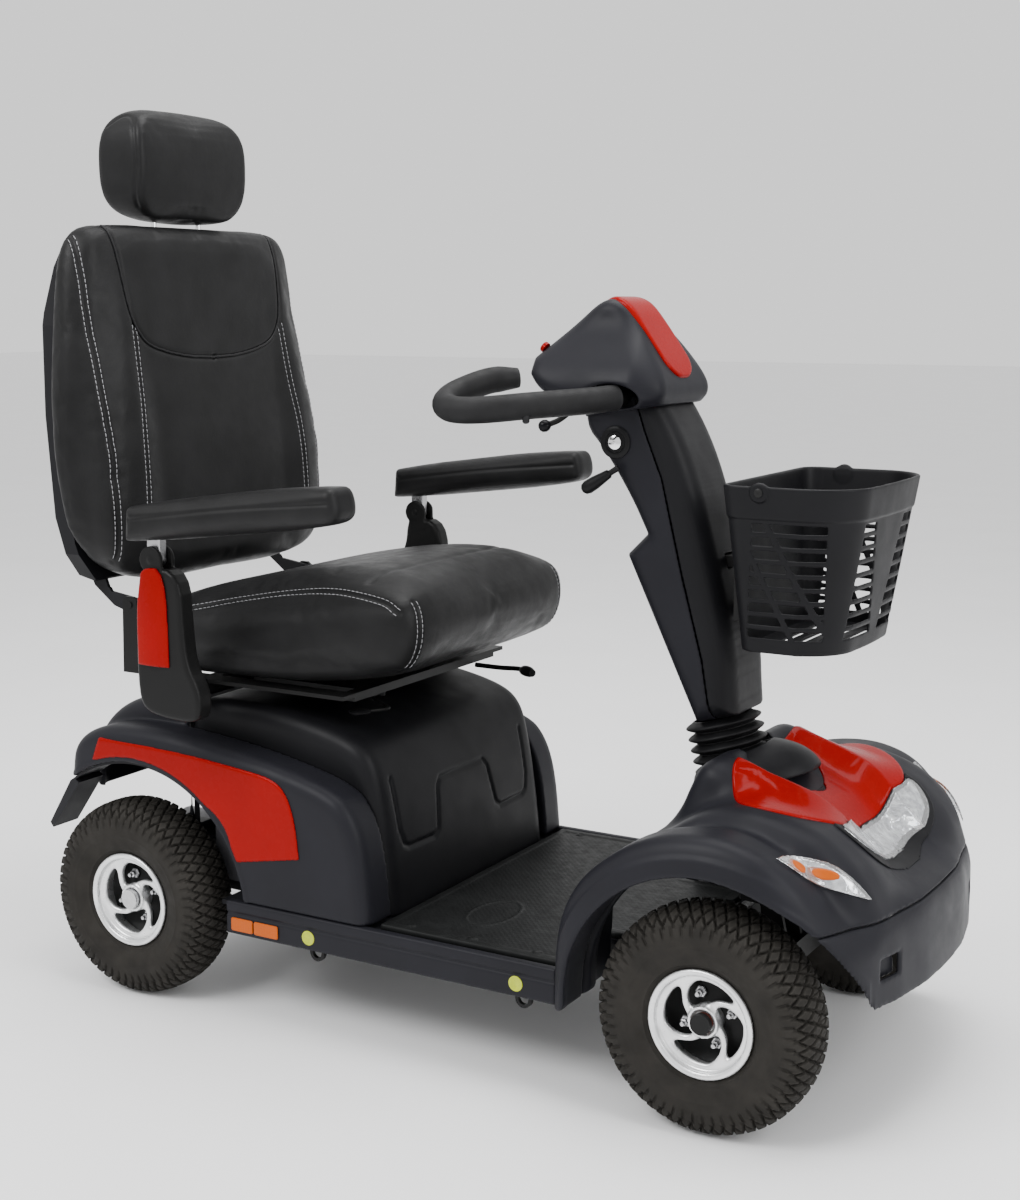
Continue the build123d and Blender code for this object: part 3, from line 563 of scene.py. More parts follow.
def make_tyre(name, x, side, body, node):
    """A tyre with a diamond-block tread, shoulder lugs and rings on its sidewalls."""
    turns, rows, blocks, depth = 640, 110, 56, 4.5
    section, across = tyre_section(rows)
    slope = np.gradient(section, axis=0)
    normal = np.stack([-slope[:, 1], slope[:, 0]], axis=1)
    normal /= np.linalg.norm(normal, axis=1)[:, None]
    angle = np.arange(turns)[:, None] * 2 * math.pi / turns
    pitch = angle * blocks / (2 * math.pi)
    width = across[None, :]
    one = np.abs((pitch + width / 34) % 1 - 0.5)
    two = np.abs((pitch - width / 34) % 1 - 0.5)
    groove = np.maximum(step_between(0.36, 0.44, one), step_between(0.36, 0.44, two))
    sipe = (0.35 * step_between(0.43, 0.47, np.abs((pitch * 2) % 1 - 0.5))
            * step_between(20, 6, np.abs(width)))
    tread = step_between(58, 50, np.abs(width))
    lug = step_between(0.3, 0.4, np.abs((pitch * 1.0 + 0.25) % 1 - 0.5))
    shoulder = step_between(50, 54, np.abs(width)) * step_between(72, 64, np.abs(width))
    rings = (sum(np.exp(-((section[:, 1] - r) / 1.1) ** 2) for r in (121, 104, 82))[None, :]
             * (section[:, 1] < 130))
    relief = -depth * tread * np.maximum(groove, sipe) - 2.6 * shoulder * lug + 1.1 * rings
    a = section[None, :, 0] + relief * normal[None, :, 0]
    r = section[None, :, 1] + relief * normal[None, :, 1]
    points = np.stack([x + r * np.cos(angle), side * wheel_side + a + 0 * angle,
                       axle_height + r * np.sin(angle)], axis=-1).reshape(-1, 3)
    i, j = np.meshgrid(np.arange(turns), np.arange(rows), indexing="ij")
    i, j = i.ravel(), j.ravel()
    k, m = (i + 1) % turns, (j + 1) % rows
    quads = np.stack([i * rows + j, i * rows + m, k * rows + m, k * rows + j], axis=1)
    return joined(name, [(points, quads)], tyre_look, body, [node], 50)


def make_rim(name, x, side, body, node, bore):
    """A cast rim: barrel with flanges, dished face with four curved windows, and hub."""
    middle = side * wheel_side
    g = Grid((x - 78, middle - 42, axle_height - 78), (x + 78, middle + 42, axle_height + 78), 1.5)
    out = (g.y - middle) * side
    r = g.round_y(x, axle_height)
    barrel = np.maximum(np.abs(r - 67.5) - 2.2, np.abs(out) - 38)
    flange = np.hypot(r - 71, np.abs(out) - 36.5) - 3.4
    dish = 20 + 5 * step_between(30, 62, r)
    face = np.maximum(np.abs(out - dish) - 4.5, r - 68)
    turn = np.arctan2(g.z - axle_height, (g.x - x) * -side)
    lag = 0.75 * step_between(18, 62, r)
    quarter = (turn + lag - math.radians(66)) % (math.pi / 2) - math.pi / 4
    spoke = (math.pi / 4 - np.abs(quarter)) * r - 5.5 - 4.5 * step_between(40, 60, r)
    window = smooth_max(smooth_max(20 - r, r - 56, 8), -spoke, 12)
    face = smooth_max(face, -window, 4)
    hub = np.maximum(r - 21, np.abs(out) - 30)
    recess = np.maximum(r - 16, 22 - out)
    shape = smooth_min(smooth_min(barrel, flange, 4), smooth_min(face, hub, 6), 5)
    shape = smooth_max(shape, -recess, 3)
    shape = np.maximum(shape, bore - r)
    return moulded(name, g, shape, alloy, body, [node])


for hand, side in hands:
    for end, x in (("front", front_axle_x), ("rear", rear_axle_x)):
        body = f"{end}_wheel_{hand}"
        make_tyre(f"{end}_tyre_tread_{hand}", x, side, body, f"{end}_tyre_{hand}")
        make_rim(f"{end}_rim_cast_{hand}", x, side, body, f"{end}_rim_{hand}",
                 8.4 if end == "front" else 10.4)
        bolts = []
        for quarter in range(4):
            turn = math.radians(20 + 90 * quarter)
            spot = (x + 35 * math.cos(turn), side * (wheel_side + 6), axle_height + 35 * math.sin(turn))
            bolts.append((spot, (0, side, 0), [(0, 0), (0, 8), (1.5, 8.5), (3, 7.2), (3, 5.4), (9, 5.2),
                                               (10, 4), (10, 0)], 6))
            bolts.append((spot, (0, side, 0), [(10, 0), (10, 3), (15, 3), (15.6, 2.2), (15.6, 0)], 16))
        lathe(f"{end}_rim_bolts_{hand}", bolts, steel, body)
        disc = [(0, 21.5), (0, 66), (3, 66), (6, 58), (6, 30), (9, 24), (9, 21.5), (0, 21.5)]
        lathe(f"{end}_rim_backing_{hand}", [((x, side * (wheel_side - 2), axle_height), (0, side, 0),
                                             disc, 64)], paint, body)
        if end == "front":
            ring = [(0, 8.6), (0, 12.5), (2.2, 12.5), (3, 11.6), (3, 9.4), (2, 8.6), (0, 8.6)]
            lathe(f"bearing_seal_{hand}", [((x, side * (wheel_side + 23), axle_height), (0, side, 0),
                                            ring, 40)], rust, body)


# ---- front bodywork ---------------------------------------------------------------------
fender_view = [(246, 60), (246, 215), (256, 268), (280, 314), (318, 350), (362, 380), (412, 398),
               (470, 404), (512, 398), (552, 382), (588, 353), (618, 318), (645, 294), (694, 286),
               (706, 225), (706, 60)]
shoulder_view = [(246, 60), (246, 215), (258, 268), (282, 312), (318, 346), (360, 366), (402, 397),
                 (440, 412), (488, 420), (530, 415), (578, 400), (616, 374), (648, 338), (670, 302),
                 (696, 284), (706, 225), (706, 60)]
hood_view = [(336, 60), (336, 345), (360, 408), (384, 458), (440, 456), (500, 434), (552, 404), (582, 374),
             (622, 318), (662, 298), (696, 286), (706, 225), (706, 60)]
nose_plan = [(704, 0), (700, 80), (685, 150), (666, 216), (645, 262), (610, 302), (557, 330), (500, 336),
             (300, 335), (200, 335), (200, 150), (200, 0)]
nose_plan = nose_plan[:-1] + [(x, -y) for x, y in reversed(nose_plan[1:-1])]


def front_form(g):
    """The outside of the front bodywork, before it is hollowed."""
    y = np.abs(g.y)
    hood = smooth_max(g.side(soft(hood_view)), y - hood_side, 36 + 34 * step_between(390, 460, g.x))
    shoulder = smooth_max(g.side(soft(shoulder_view)), y - shoulder_side - 22, 46)
    fender = smooth_max(g.side(soft(fender_view)), y - fender_side, 40)
    fender = smooth_max(fender, 232 - 70 * step_between(540, 600, g.x) - y, 30)
    form = smooth_min(smooth_min(hood, shoulder, 26), fender, 16)
    form = smooth_max(form, g.plan(soft(nose_plan)), 46)
    # the bonnet's valley between two ridges
    ridge = np.interp(g.x, [420, 470, 510, 560, 600], [104, 108, 104, 98, 84])
    along = step_between(402, 440, g.x)
    high = step_between(300, 372, g.z)
    dip = np.clip((1 - y / ridge) / 0.62, 0, 1)
    dip = dip * (1.5 - 0.5 * dip * dip)
    nose = 30 * step_between(530, 600, g.x) * step_between(292, 330, g.z) * step_between(0, 1, 1 - y / 165)
    return form + high * along * 30 * dip + nose


def cowl_form(g):
    """A low oval dome round the foot of the bellows, longer to the front."""
    dx, dz = g.x - steer_x, g.z - steer_z
    height = dz * math.cos(steer_rake) - dx * math.sin(steer_rake)
    across = dx * math.cos(steer_rake) + dz * math.sin(steer_rake)
    across = np.where(across > 0, across, 2.2 * across)
    return np.sqrt((across ** 2 + (1.35 * g.y) ** 2) / 1.95 ** 2 + (height + 64) ** 2) - 65


g = Grid((236, -345, 120), (712, 345, 475), 3)
y = np.abs(g.y)
form = front_form(g)
arch = g.round_y(front_axle_x, axle_height)
lip = 2.2 * step_between(300, 322, y) * step_between(front_arch + 30, front_arch + 24, arch)
form = form - lip
shell = np.maximum(form, -(form + skin))
flange = np.maximum(np.maximum(np.abs(arch - front_arch - 4) - 3.4, form),
                    np.where(g.x > bumper_rear, 225, tyre_gap_side) - y)
shell = smooth_min(shell, flange, 4)
arch_opening = np.where(y > hood_side - 2, front_arch - arch, -99.0)
low_edge = np.interp(y, [0, 120, 190, 240, 290, 330], [178, 178, 176, 158, 168, 210])
below = np.where(g.x > 480, low_edge, 130 + 0 * y) - g.z
shell = smooth_max(shell, smooth_max(arch_opening, below, 20), 3)
shell = np.maximum(shell, -np.maximum(y - hood_side + 4, g.x - 335))
height, reach = g.steering()
shell = np.maximum(shell, -np.maximum(reach - 66, np.abs(height + 10) - 70))
bumper_zone = np.maximum(bumper_rear - g.x, g.z - bumper_seam)
pocket = np.maximum(np.maximum(np.abs(y - 178) - 21, np.abs(g.z - 229) - 13), 640 - g.x)
moulded("front_hood_skin", g, smooth_max(shell, 0.8 - bumper_zone, 2.5), graphite, "chassis",
        ["front_hood"])
pocket_floor = np.maximum(np.abs(form + 15) - 4, pocket - 4)
bumper = np.minimum(smooth_max(smooth_max(shell, bumper_zone + 0.8, 2.5), -pocket, 5), pocket_floor)
moulded("front_bumper_skin", g, bumper, graphite, "chassis", ["front_bumper"])

# red bonnet panel: outer flanks and the slopes down into the valley, open over a black sheet of painted
# shade in the valley
g = Grid((416, -202, 330), (612, 202, 470), 1.7)
form = front_form(g)
panel_edge = [(422, 0), (422, 114), (432, 146), (476, 200), (540, 196), (590, 138), (578, 84), (570, 44),
              (567, 0)]
# painted shade: this outline follows the soft shade in the bonnet's valley; it bounds the black sheet and
# the opening in the red panel
valley_shade_edge = [(418, 0), (418, 60), (450, 48), (482, 36), (506, 18), (512, 0)]
outer, valley_shade_outline = g.plan(soft(mirrored(panel_edge))), g.plan(soft(mirrored(valley_shade_edge)))
sheet = smooth_max(form - 2.6, -form - 5, 1.6)
clear_of_cowl = 1 - cowl_form(g)
moulded("hood_red_panel", g, smooth_max(smooth_max(sheet, outer, 3),
                                        np.maximum(1.2 - valley_shade_outline, clear_of_cowl), 2.5), red, "chassis",
        ["hood_insert"])
# painted shade: a black sheet lying in the bonnet's valley where the shade falls
valley_shade_sheet = smooth_max(form - 1.6, -form - 4, 1.6)
moulded("hood_valley_painted_shade", g, smooth_max(smooth_max(valley_shade_sheet, valley_shade_outline + 0.4, 2), clear_of_cowl, 2),
        black, "chassis")

# headlight: a mirror bowl under a raised clear lens
g = Grid((530, -150, 290), (680, 150, 420), 1.5)
form = front_form(g)
lens_edge = [(0, 395), (70, 395), (134, 397), (142, 388), (122, 358), (72, 334), (34, 323), (0, 321)]
edge = smooth_max(g.face(soft(mirrored(lens_edge, 0), 2)), 2.5 - g.plan(soft(mirrored(panel_edge))), 3)
facets = 1.1 * np.abs(np.sin(g.y / 8) * np.sin(g.z / 7))
moulded("headlight_mirror", g, smooth_max(smooth_max(form - 0.9 - facets, -form - 4, 0.8), edge + 2.5,
                                          1.5), mirror, "chassis")
moulded("headlight_glass", g, smooth_max(smooth_max(form - 5.4, 2.6 - form, 1), edge, 2.2), clear,
        "chassis", ["headlight_lens"])
rim_line = np.maximum(np.maximum(np.abs(edge - 5.5) - 5, np.abs(form - 0.2) - 2.4),
                      1 - g.plan(soft(mirrored(panel_edge))))
moulded("headlight_surround", g, rim_line, black, "chassis")

# indicators on the shoulders: amber bulbs on a mirror strip under a clear lens
for hand, side in hands:
    low_y, high_y = sorted((side * 190, side * 292))
    g = Grid((520, low_y, 310), (668, high_y, 400), 1.6)
    form = front_form(g)
    outline = [(280, 384), (256, 382), (230, 375), (220, 356), (200, 320), (228, 332), (256, 349),
               (270, 368)]
    outline = [(side * y, z) for y, z in outline]
    edge = g.face(soft(outline, 2, (0, 4)))
    moulded(f"indicator_mirror_{hand}", g, smooth_max(smooth_max(form - 0.9, -form - 1, 0.8), edge + 2,
                                                      1.5), mirror, "chassis")
    moulded(f"indicator_glass_{hand}", g, smooth_max(smooth_max(form - 4.4, 2.4 - form, 1), edge, 2),
            clear, "chassis", ["front_indicators"] if side < 0 else ())
    bulbs = np.full(g.shape, 1e3)
    for bulb_y, bulb_z in ((257, 369), (239, 358)):
        bulbs = np.minimum(bulbs, np.hypot(g.y - side * bulb_y, (g.z - bulb_z) * 1.25) - 9.5)
    moulded(f"indicator_bulbs_{hand}", g, smooth_max(smooth_max(form - 5, -form, 1), bulbs, 3), amber,
            "chassis")

# collar round the bellows
g = Grid((276, -104, 380), (500, 104, 480), 2)
height, reach = g.steering()
collar = smooth_max(smooth_max(61.5 - reach, cowl_form(g), 5), -height - 60, 4)
moulded("steering_collar", g, collar, black, "chassis", ["steering_cowl"])


# ---- rear bodywork --------------------------------------------------------------------------
cover_view = [(-62, 100), (-66, 180), (-78, 290), (-96, 386), (-112, 420), (-140, 440), (-200, 456),
              (-280, 468), (-360, 470), (-460, 468), (-460, 100)]
fender_rear_view = [(-62, 100), (-66, 190), (-76, 287), (-96, 343), (-130, 376), (-260, 405), (-380, 420),
                    (-480, 427), (-568, 423), (-626, 398), (-644, 350), (-644, 100)]
deck_view = [(-430, 200), (-430, 470), (-470, 469), (-525, 464), (-590, 442), (-636, 398), (-649, 340),
             (-649, 200)]
panel_view = [(-588, 366), (-572, 405), (-409, 402), (-284, 391), (-228, 383), (-204, 363), (-190, 322),
              (-184, 266), (-310, 242), (-318, 290), (-355, 325), (-429, 337), (-507, 351)]


def rear_form(g):
    """The outside of the rear fenders and the deck between them."""
    y = np.abs(g.y)
    fender = smooth_max(g.side(soft(fender_rear_view)), y - body_side, 27)
    fender = np.maximum(fender, cover_side + 0.6 - y)
    deck = smooth_max(g.side(soft(deck_view)), y - cover_side - 3, 30)
    return smooth_min(fender, deck, 6)


g = Grid((-656, -304, 176), (-54, 304, 478), 3)
y = np.abs(g.y)
form = rear_form(g)
arch = g.round_y(rear_axle_x, axle_height)
shell = np.maximum(form, -(form + skin))
flange = np.maximum(np.maximum(np.abs(arch - arch_radius - 4) - 3.4, form), tyre_gap_side - y)
shell = smooth_min(shell, flange, 4)
shell = smooth_max(shell, np.where(y > cover_side - 8, arch_radius - arch, -99.0), 3)
shell = smooth_max(shell, 182 - g.z, 3)
shell = np.maximum(shell, -np.maximum(y - cover_side - 0.4, -447 - g.x))
shell = np.maximum(shell, -np.maximum(np.maximum(g.x - rear_axle_x, g.z - 300), y - 310))
shell = np.maximum(shell, -np.maximum(np.maximum(g.x + 600, g.z - 332), cover_side - y))
moulded("rear_body_skin", g, shell, graphite, "chassis", ["rear_body"])

g = Grid((-600, -305, 234), (-176, 305, 416), 2)
y = np.abs(g.y)
form = rear_form(g)
edge = g.side(soft(panel_view, 2, (0, 1, 7, 8)))
sheet = smooth_max(smooth_max(form - 2.8, -form - 1, 2), edge, 4)
sheet = np.maximum(sheet, tyre_gap_side - y)
sheet = smooth_max(sheet, arch_radius + 7 - g.round_y(rear_axle_x, axle_height), 3)
moulded("rear_red_panels", g, sheet, red, "chassis", ["rear_side_panels"])

g = Grid((-452, -238, 170), (-56, 238, 478), 2.6)
y = np.abs(g.y)
form = smooth_max(g.side(soft(cover_view)), y - cover_side + 0.4, 32)
front_face = step_between(-170, -130, g.x)
groove_line = [(190, 376), (188, 300), (180, 276), (168, 270), (98, 268), (86, 276), (74, 338), (64, 350),
               (0, 350)]
groove = line_distance(groove_line, np.abs(g.y[0, :, :]), g.z[0, :, :])[None, :, :]
form = form + front_face * 3.2 * np.exp(-(groove / 3.2) ** 2)
shell = np.maximum(form, -(form + skin))
shell = np.maximum(shell, 175.5 - g.z)
shell = np.maximum(shell, -445 - g.x)
shell = np.maximum(shell, 32 - np.hypot(g.x + 290, g.y))
shell = np.maximum(shell, np.where(y > 226, arch_radius - g.round_y(rear_axle_x, axle_height), -99.0))
moulded("pedestal_cover_skin", g, shell, black, "chassis", ["pedestal_cover"])

# ---- floor, sills and reflectors -------------------------------------------------------------
g = Grid((-64, -280, 172), (348, 280, 190), 2)
mat_edge = [(344, 0), (344, 136), (240, 136), (240, 276), (-58, 276), (-58, 0)]
edge = g.plan(mirrored(mat_edge))
rim = step_between(-16, -12, edge)
oval = np.hypot((g.x - 60) / 1.0, (g.y + 150) / 1.7) - 34
emboss = 1.2 * np.exp(-(oval / 2.2) ** 2) * np.ones(g.shape)
for stud_x in (-15, 90, 195):
    for stud_y in (-259, 259):
        emboss = np.maximum(emboss, 2.0 * step_between(7.5, 5, np.hypot(g.x - stud_x, g.y - stud_y)))
fine = 0.35 * np.sin(g.x * math.pi / 5) * np.sin(g.y * math.pi / 5)
mat = smooth_max(smooth_max(edge, g.z - 183.4 - emboss - 1.2 * rim - fine * (1 - rim), 3), 175.2 - g.z, 1)
moulded("floor_mat_moulding", g, mat, mat_look, "chassis", ["floor_mat"], 50)

for hand, side in hands:
    low_y, high_y = sorted((side * 282, side * 306))
    g = Grid((-330, low_y, 126), (250, high_y, 188), 1.8)
    out = g.y * side
    bar_shape = smooth_max(np.maximum(np.abs(out - 292.5) - 7.5, -324 - g.x), np.abs(g.z - 156) - 26, 5)
    bar_shape = np.maximum(bar_shape, g.x - 245.5)
    groove = np.hypot(out - 300.5, g.z - 163) - 3
    bar_shape = smooth_max(bar_shape, -groove, 2)
    moulded(f"sill_{hand}", g, bar_shape, graphite, "chassis", ["sill_trims"] if side < 0 else ())
    low_y, high_y = sorted((side * 298, side * 307))
    g = Grid((-318, low_y, 132), (-220, high_y, 163), 1)
    out = g.y * side
    lenses = np.minimum(np.abs(g.x + 292.5) - 20.5, np.abs(g.x + 247.5) - 22.5)
    ripple = 0.35 * np.abs(np.sin(g.x * math.pi / 5) * np.sin(g.z * math.pi / 5))
    plate = smooth_max(smooth_max(lenses, np.abs(g.z - 147.5) - 10.5, 4), out - 303.6 + ripple, 2)
    plate = np.maximum(plate, 300.1 - out)
    moulded(f"side_reflector_{hand}", g, plate, amber, "chassis", ["sill_reflectors"] if side < 0 else ())
    discs = []
    for x in (-170, 184):
        discs.append(((x, side * 300, 150), (0, side, 0), [(0, 0), (0, 11), (0.8, 11), (1.2, 10),
                                                           (1.2, 8.6), (0.8, 8), (0.8, 0)], 40))
    lathe(f"tie_down_discs_{hand}", discs, yellow, "chassis")

g = Grid((-660, -222, 304), (-640, 222, 346), 1.2)
y = np.abs(g.y)
lamp = smooth_max(smooth_max(np.abs(y - 182.5) - 32, np.abs(g.z - 325) - 12.5, 6),
                  np.abs(g.x + 650) - 4.2, 2)
ribs = 0.4 * np.sin(g.y * math.pi / 3)
moulded("rear_lamp_lenses", g, lamp + ribs * (g.x < -652), red_lens, "chassis", ["rear_lamps"])

# ---- tiller ---------------------------------------------------------------------------------
seam_line = [(366.5, 480), (366.5, 492), (361, 520), (351, 580), (318, 700), (286, 830), (258, 898),
             (240, 950)]
column_view = [(337, 484), (224, 720), (255, 751), (230, 800), (188, 864), (152, 903), (166, 960),
               (262, 960), (300, 902), (328, 838), (353, 752), (376, 662), (393, 582), (395, 540),
               (398, 502)]


def column_form(g):
    """The outside of the tiller's column."""
    return smooth_max(g.side(soft(column_view, 2, (0, 1, 2, 14))), np.abs(g.y) - column_half, 34)


g = Grid((140, -76, 478), (404, 76, 948), 2.4)
form = column_form(g)
shell = np.maximum(form, -(form + 3))
shell = np.maximum(shell, np.maximum(484 + 0.25 * (g.x - 337) - g.z, g.z - 944))
seam_x = np.interp(g.z, [z for x, z in seam_line], [x for x, z in seam_line])
rear_half = smooth_max(shell, g.x - seam_x + 0.5, 2)
front_half = smooth_max(shell, seam_x + 0.5 - g.x, 2)
for low, high in ((705, 723), (639, 657)):
    slot_hole = np.maximum(np.abs(g.z - (low + high) / 2) - (high - low) / 2, np.abs(g.y) - 14.6)
    front_half = np.maximum(front_half, -slot_hole)
moulded("tiller_rear_shell", g, rear_half, graphite, "tiller", ["tiller_rear_cover"])
moulded("tiller_front_shell", g, front_half, black, "tiller", ["tiller_front_cover"])

console_view = [(106, 950), (86, 974), (86, 998), (112, 1024), (152, 1062), (176, 1079), (198, 1081),
                (220, 1068), (247, 1030), (280, 984), (292, 958), (288, 938), (262, 924), (200, 920),
                (140, 934)]


def console_form(g):
    """The outside of the console: narrow at its crown, with wings over the handlebar."""
    y = np.abs(g.y)
    half = console_half - 56 * step_between(955, 1062, g.z) - 18 * step_between(245, 290, g.x)
    half = half - 14 * step_between(945, 918, g.z)
    wings = smooth_max(g.side(soft(console_view, 3, (1, 2))), y - half, 24)
    return smooth_min(wings, column_form(g) - 1.8, 16)


g = Grid((80, -114, 906), (312, 114, 1086), 2)
y = np.abs(g.y)
form = console_form(g)
shell = np.maximum(form, -(form + skin))
scoop = np.sqrt(((g.x - 222) / 1.75) ** 2 + ((y - 112) / 1.1) ** 2 + (g.z - 936) ** 2) - 27
shell = smooth_max(shell, -scoop, 6)
shell = smooth_max(shell, 912 + 0.16 * (g.x - 150) - g.z, 2)
height = (g.x - horn_place[0]) * dash_way[0] + (g.z - horn_place[2]) * dash_way[2]
reach = np.sqrt((g.x - horn_place[0] - height * dash_way[0]) ** 2 + (g.y - horn_place[1]) ** 2
                + (g.z - horn_place[2] - height * dash_way[2]) ** 2)
shell = np.maximum(shell, -np.maximum(reach - 8.8, 1 - height))
moulded("console_skin", g, shell, graphite, "tiller", ["console_shell"])

g = Grid((150, -60, 944), (306, 60, 1092), 1.5)
form = console_form(g)
slope = math.hypot(96, 116)
along = ((g.x - 237) * 96 - (g.z - 1032) * 116) / slope
rounded = np.maximum(np.abs(along) - 44, 0) ** 2 + np.maximum(np.abs(g.y) - 6, 0) ** 2
rounded = np.sqrt(rounded) - 36
moulded("console_red_panel", g, smooth_max(smooth_max(form - 3.4, -form - 4, 2.4), rounded, 4), red,
        "tiller", ["console_insert"])

# handlebar and grips
grip_route = [(226, 98, 944), (206, 142, 941), (150, 208, 936), (100, 244, 931), (62, 255, 931),
              (38, 240, 938), (36, 205, 951), (58, 158, 966), (88, 127, 970)]
bar("handlebar_tube", [(route, 11) for route in sides((226, 0, 944), (226, 60, 944), (218, 118, 942),
                                                      (200, 150, 940))], paint, "tiller", ["handlebar"])
grip = [18.4, 18.4, 18.5, 18.5, 18.5, 18.5, 18.5, 18.5, 18.5, 18.5, 18.5, 18.5, 18.5, 18.5, 18.2, 14]
bar("handlebar_grip_sleeves", [(route, grip) for route in sides(*grip_route)], grip_look, "tiller",
    ["handlebar_grips"])
lathe("grip_stop_screws", [((150, side * 214, 936), (0.2, side * 0.3, -1),
                            [(14, 0), (14, 5), (22, 5), (24, 3.4), (24, 0)], 16) for side in (-1, 1)],
      soft_look, "tiller")

# tilt lever, drive lever, key switch and dashboard controls
lathe("tilt_lever_knob", [((222, -77, 845), (-44, -13, -30), [(0, 0), (0, 4.5), (14, 4.2), (16, 6.4),
                                                              (22, 7.2), (40, 9.6), (52, 10), (58, 8),
                                                              (61, 4), (61.5, 0)], 32)], control,
      "tilt_lever", ["tilt_lever"])
lever_route = [(150, 58, 1000), (150, 66, 992), (154, 80, 965), (159, 98, 930), (150, 116, 913),
               (133, 131, 904)]
bar("drive_lever_bar", [*((route, 4) for route in sides(*lever_route)),
                        ([(150, -60, 1000), (150, 0, 1000), (150, 60, 1000)], 4)], paint, "drive_lever",
    ["drive_lever"])
lathe("drive_lever_balls", [((133, side * 131, 904), (-0.76, side * 0.6, -0.3),
                             [(-9, 0), (-8.6, 4), (-5, 7.6), (0, 9), (5, 7.6), (8, 4.4), (9, 0)],
                             28) for side in (-1, 1)], gloss, "drive_lever")
lathe("key_bezel", [(key_place, (0, -1, 0), [(0.3, 0), (0.3, 23), (2.2, 23), (3.4, 21.5), (3.4, 16),
                                             (1.4, 14), (1.4, 0)], 48)], control, "tiller")
lathe("key_lock", [(key_place, (0, -1, 0), [(1.4, 0), (1.4, 10), (4.6, 10), (5.2, 9.2), (5.2, 0)], 40),
                   (key_place, (0, -1, 0), [(5.2, 0), (5.2, 2.2), (8.6, 2.2), (9, 1.6), (9, 0)], 4)],
      chrome, "key", ["key_barrel"])
lathe("speed_dial_knob", [(dash_middle, dash_way, [(2, 0), (2, 15), (4, 15), (6, 13.4), (14, 12.4),
                                                   (15.5, 11.4), (16, 9), (16, 0)], 36)], control,
      "speed_dial", ["speed_dial"])
lathe("horn_button_cap", [(horn_place, dash_way, [(3.5, 0), (3.5, 8), (8.5, 7.8), (9.6, 6.6),
                                                        (10, 4), (10, 0)], 32)], red, "horn_button",
      ["horn_button"])

# bellows: folds between the steering stem and the tiller
fold = []
for number in range(73):
    height = -34 + number
    ripple = 0.5 + 0.5 * math.cos((height + 34) * 2 * math.pi / 16)
    fold.append((height, 45.5 + 12 * ripple ** 0.75 - 0.03 * (height + 34)))
fold += [(height, radius - 2.5) for height, radius in reversed(fold)]
fold.append(fold[0])
bellows = lathe("bellows_folds", [((steer_x, 0, steer_z), (-math.sin(steer_rake), 0,
                                                           math.cos(steer_rake)), fold, 72)], soft_look,
                None, ["steering_bellows"], None)


# ---- basket ----------------------------------------------------------------------------------
def basket_form(g, inward):
    """The basket's tapered outside, or its inside when moved inward."""
    rise = (g.z - 612) / 226
    rear, front, half = 430 - 18 * rise + inward, 562 + 32 * rise - inward, 130 + 30 * rise - inward
    centre, reach = (rear + front) / 2, (front - rear) / 2
    bow = 9 * (1 - (g.y / half) ** 2)
    corner = 26 + 38 * step_between(480, 530, g.x)
    u = np.abs(g.x - centre - np.where(g.x > centre, bow, 0)) - reach + corner
    v = np.abs(g.y) - half + corner - 3 * (1 - rise)
    return np.sqrt(np.maximum(u, 0) ** 2 + np.maximum(v, 0) ** 2) + np.minimum(np.maximum(u, v), 0) - corner


g = Grid((404, -172, 604), (612, 172, 850), 1.8)
y = np.abs(g.y)
outside, inside = basket_form(g, 0), basket_form(g, 3.2)
band = 2.2 * step_between(793, 796, g.z)
wall = np.maximum(outside - band, -inside)
wall = smooth_max(wall, np.maximum(612 - g.z, g.z - 838), 3)
bottom = np.maximum(inside - 1, np.abs(g.z - 614.2) - 2)
in_row = np.abs((g.z - 630) % 18 - 9) - 5.2
rows_band = np.abs(g.z - 711) - 81
on_side = np.maximum(np.abs(g.x - 494 - 0.08 * (g.z - 612)) - 50, 100 - y)
slant = (g.x - 494) + 0.5 * (g.z - 711)
side_ribs = np.minimum(np.abs(slant + 24) - 5, np.abs(slant - 22) - 5)
cut_side = np.maximum(np.maximum(on_side, -side_ribs), np.maximum(rows_band, in_row))
slanted_edge = 14 + 44 * (g.z - 630) / 162
on_front = np.maximum(np.maximum(y - 92, slanted_edge - y), 530 - g.x)
cut_front = np.maximum(on_front, np.maximum(rows_band, in_row))
slots = np.minimum(cut_side, cut_front)
basket = np.minimum(smooth_max(wall, -slots, 2), bottom)
vent = np.maximum(np.abs((g.x - 500) % 24 - 12) - 4, np.maximum(y - 96, np.abs(g.x - 496) - 50))
basket = np.maximum(basket, -np.maximum(vent, np.abs(g.z - 614) - 4))
boss = np.maximum(np.hypot(g.x - 470, g.z - 830) - 13, np.abs(y - 160) - 4.5)
basket = smooth_min(basket, np.maximum(boss, -inside), 3)
moulded("basket_moulding", g, basket, black, "basket", ["basket"], 50)
lathe("basket_screws", [((470, side * 164, 830), (0, side, 0), [(0, 0), (0, 6), (1.6, 6), (2.4, 4.6),
                                                                (2.4, 0)], 24) for side in (-1, 1)],
      paint, "basket")


# ---- seat, backrest, headrest and armrests -----------------------------------------------------
def calmed(mesh, move, passes=30, kept=0.3):
    """Spread a move evenly over a mesh, and keep only a part of its creases."""
    ends = np.empty(len(mesh.edges) * 2, np.int32)
    mesh.edges.foreach_get("vertices", ends)
    a, b = ends.reshape(-1, 2).T
    total = len(mesh.vertices)
    neighbours = (np.bincount(a, minlength=total) + np.bincount(b, minlength=total))[:, None]
    calm = move
    for _ in range(passes):
        around = [np.bincount(a, calm[b, k], total) + np.bincount(b, calm[a, k], total) for k in range(3)]
        calm = (calm + np.stack(around, axis=1) / neighbours) / 2
    return calm + kept * (move - calm)


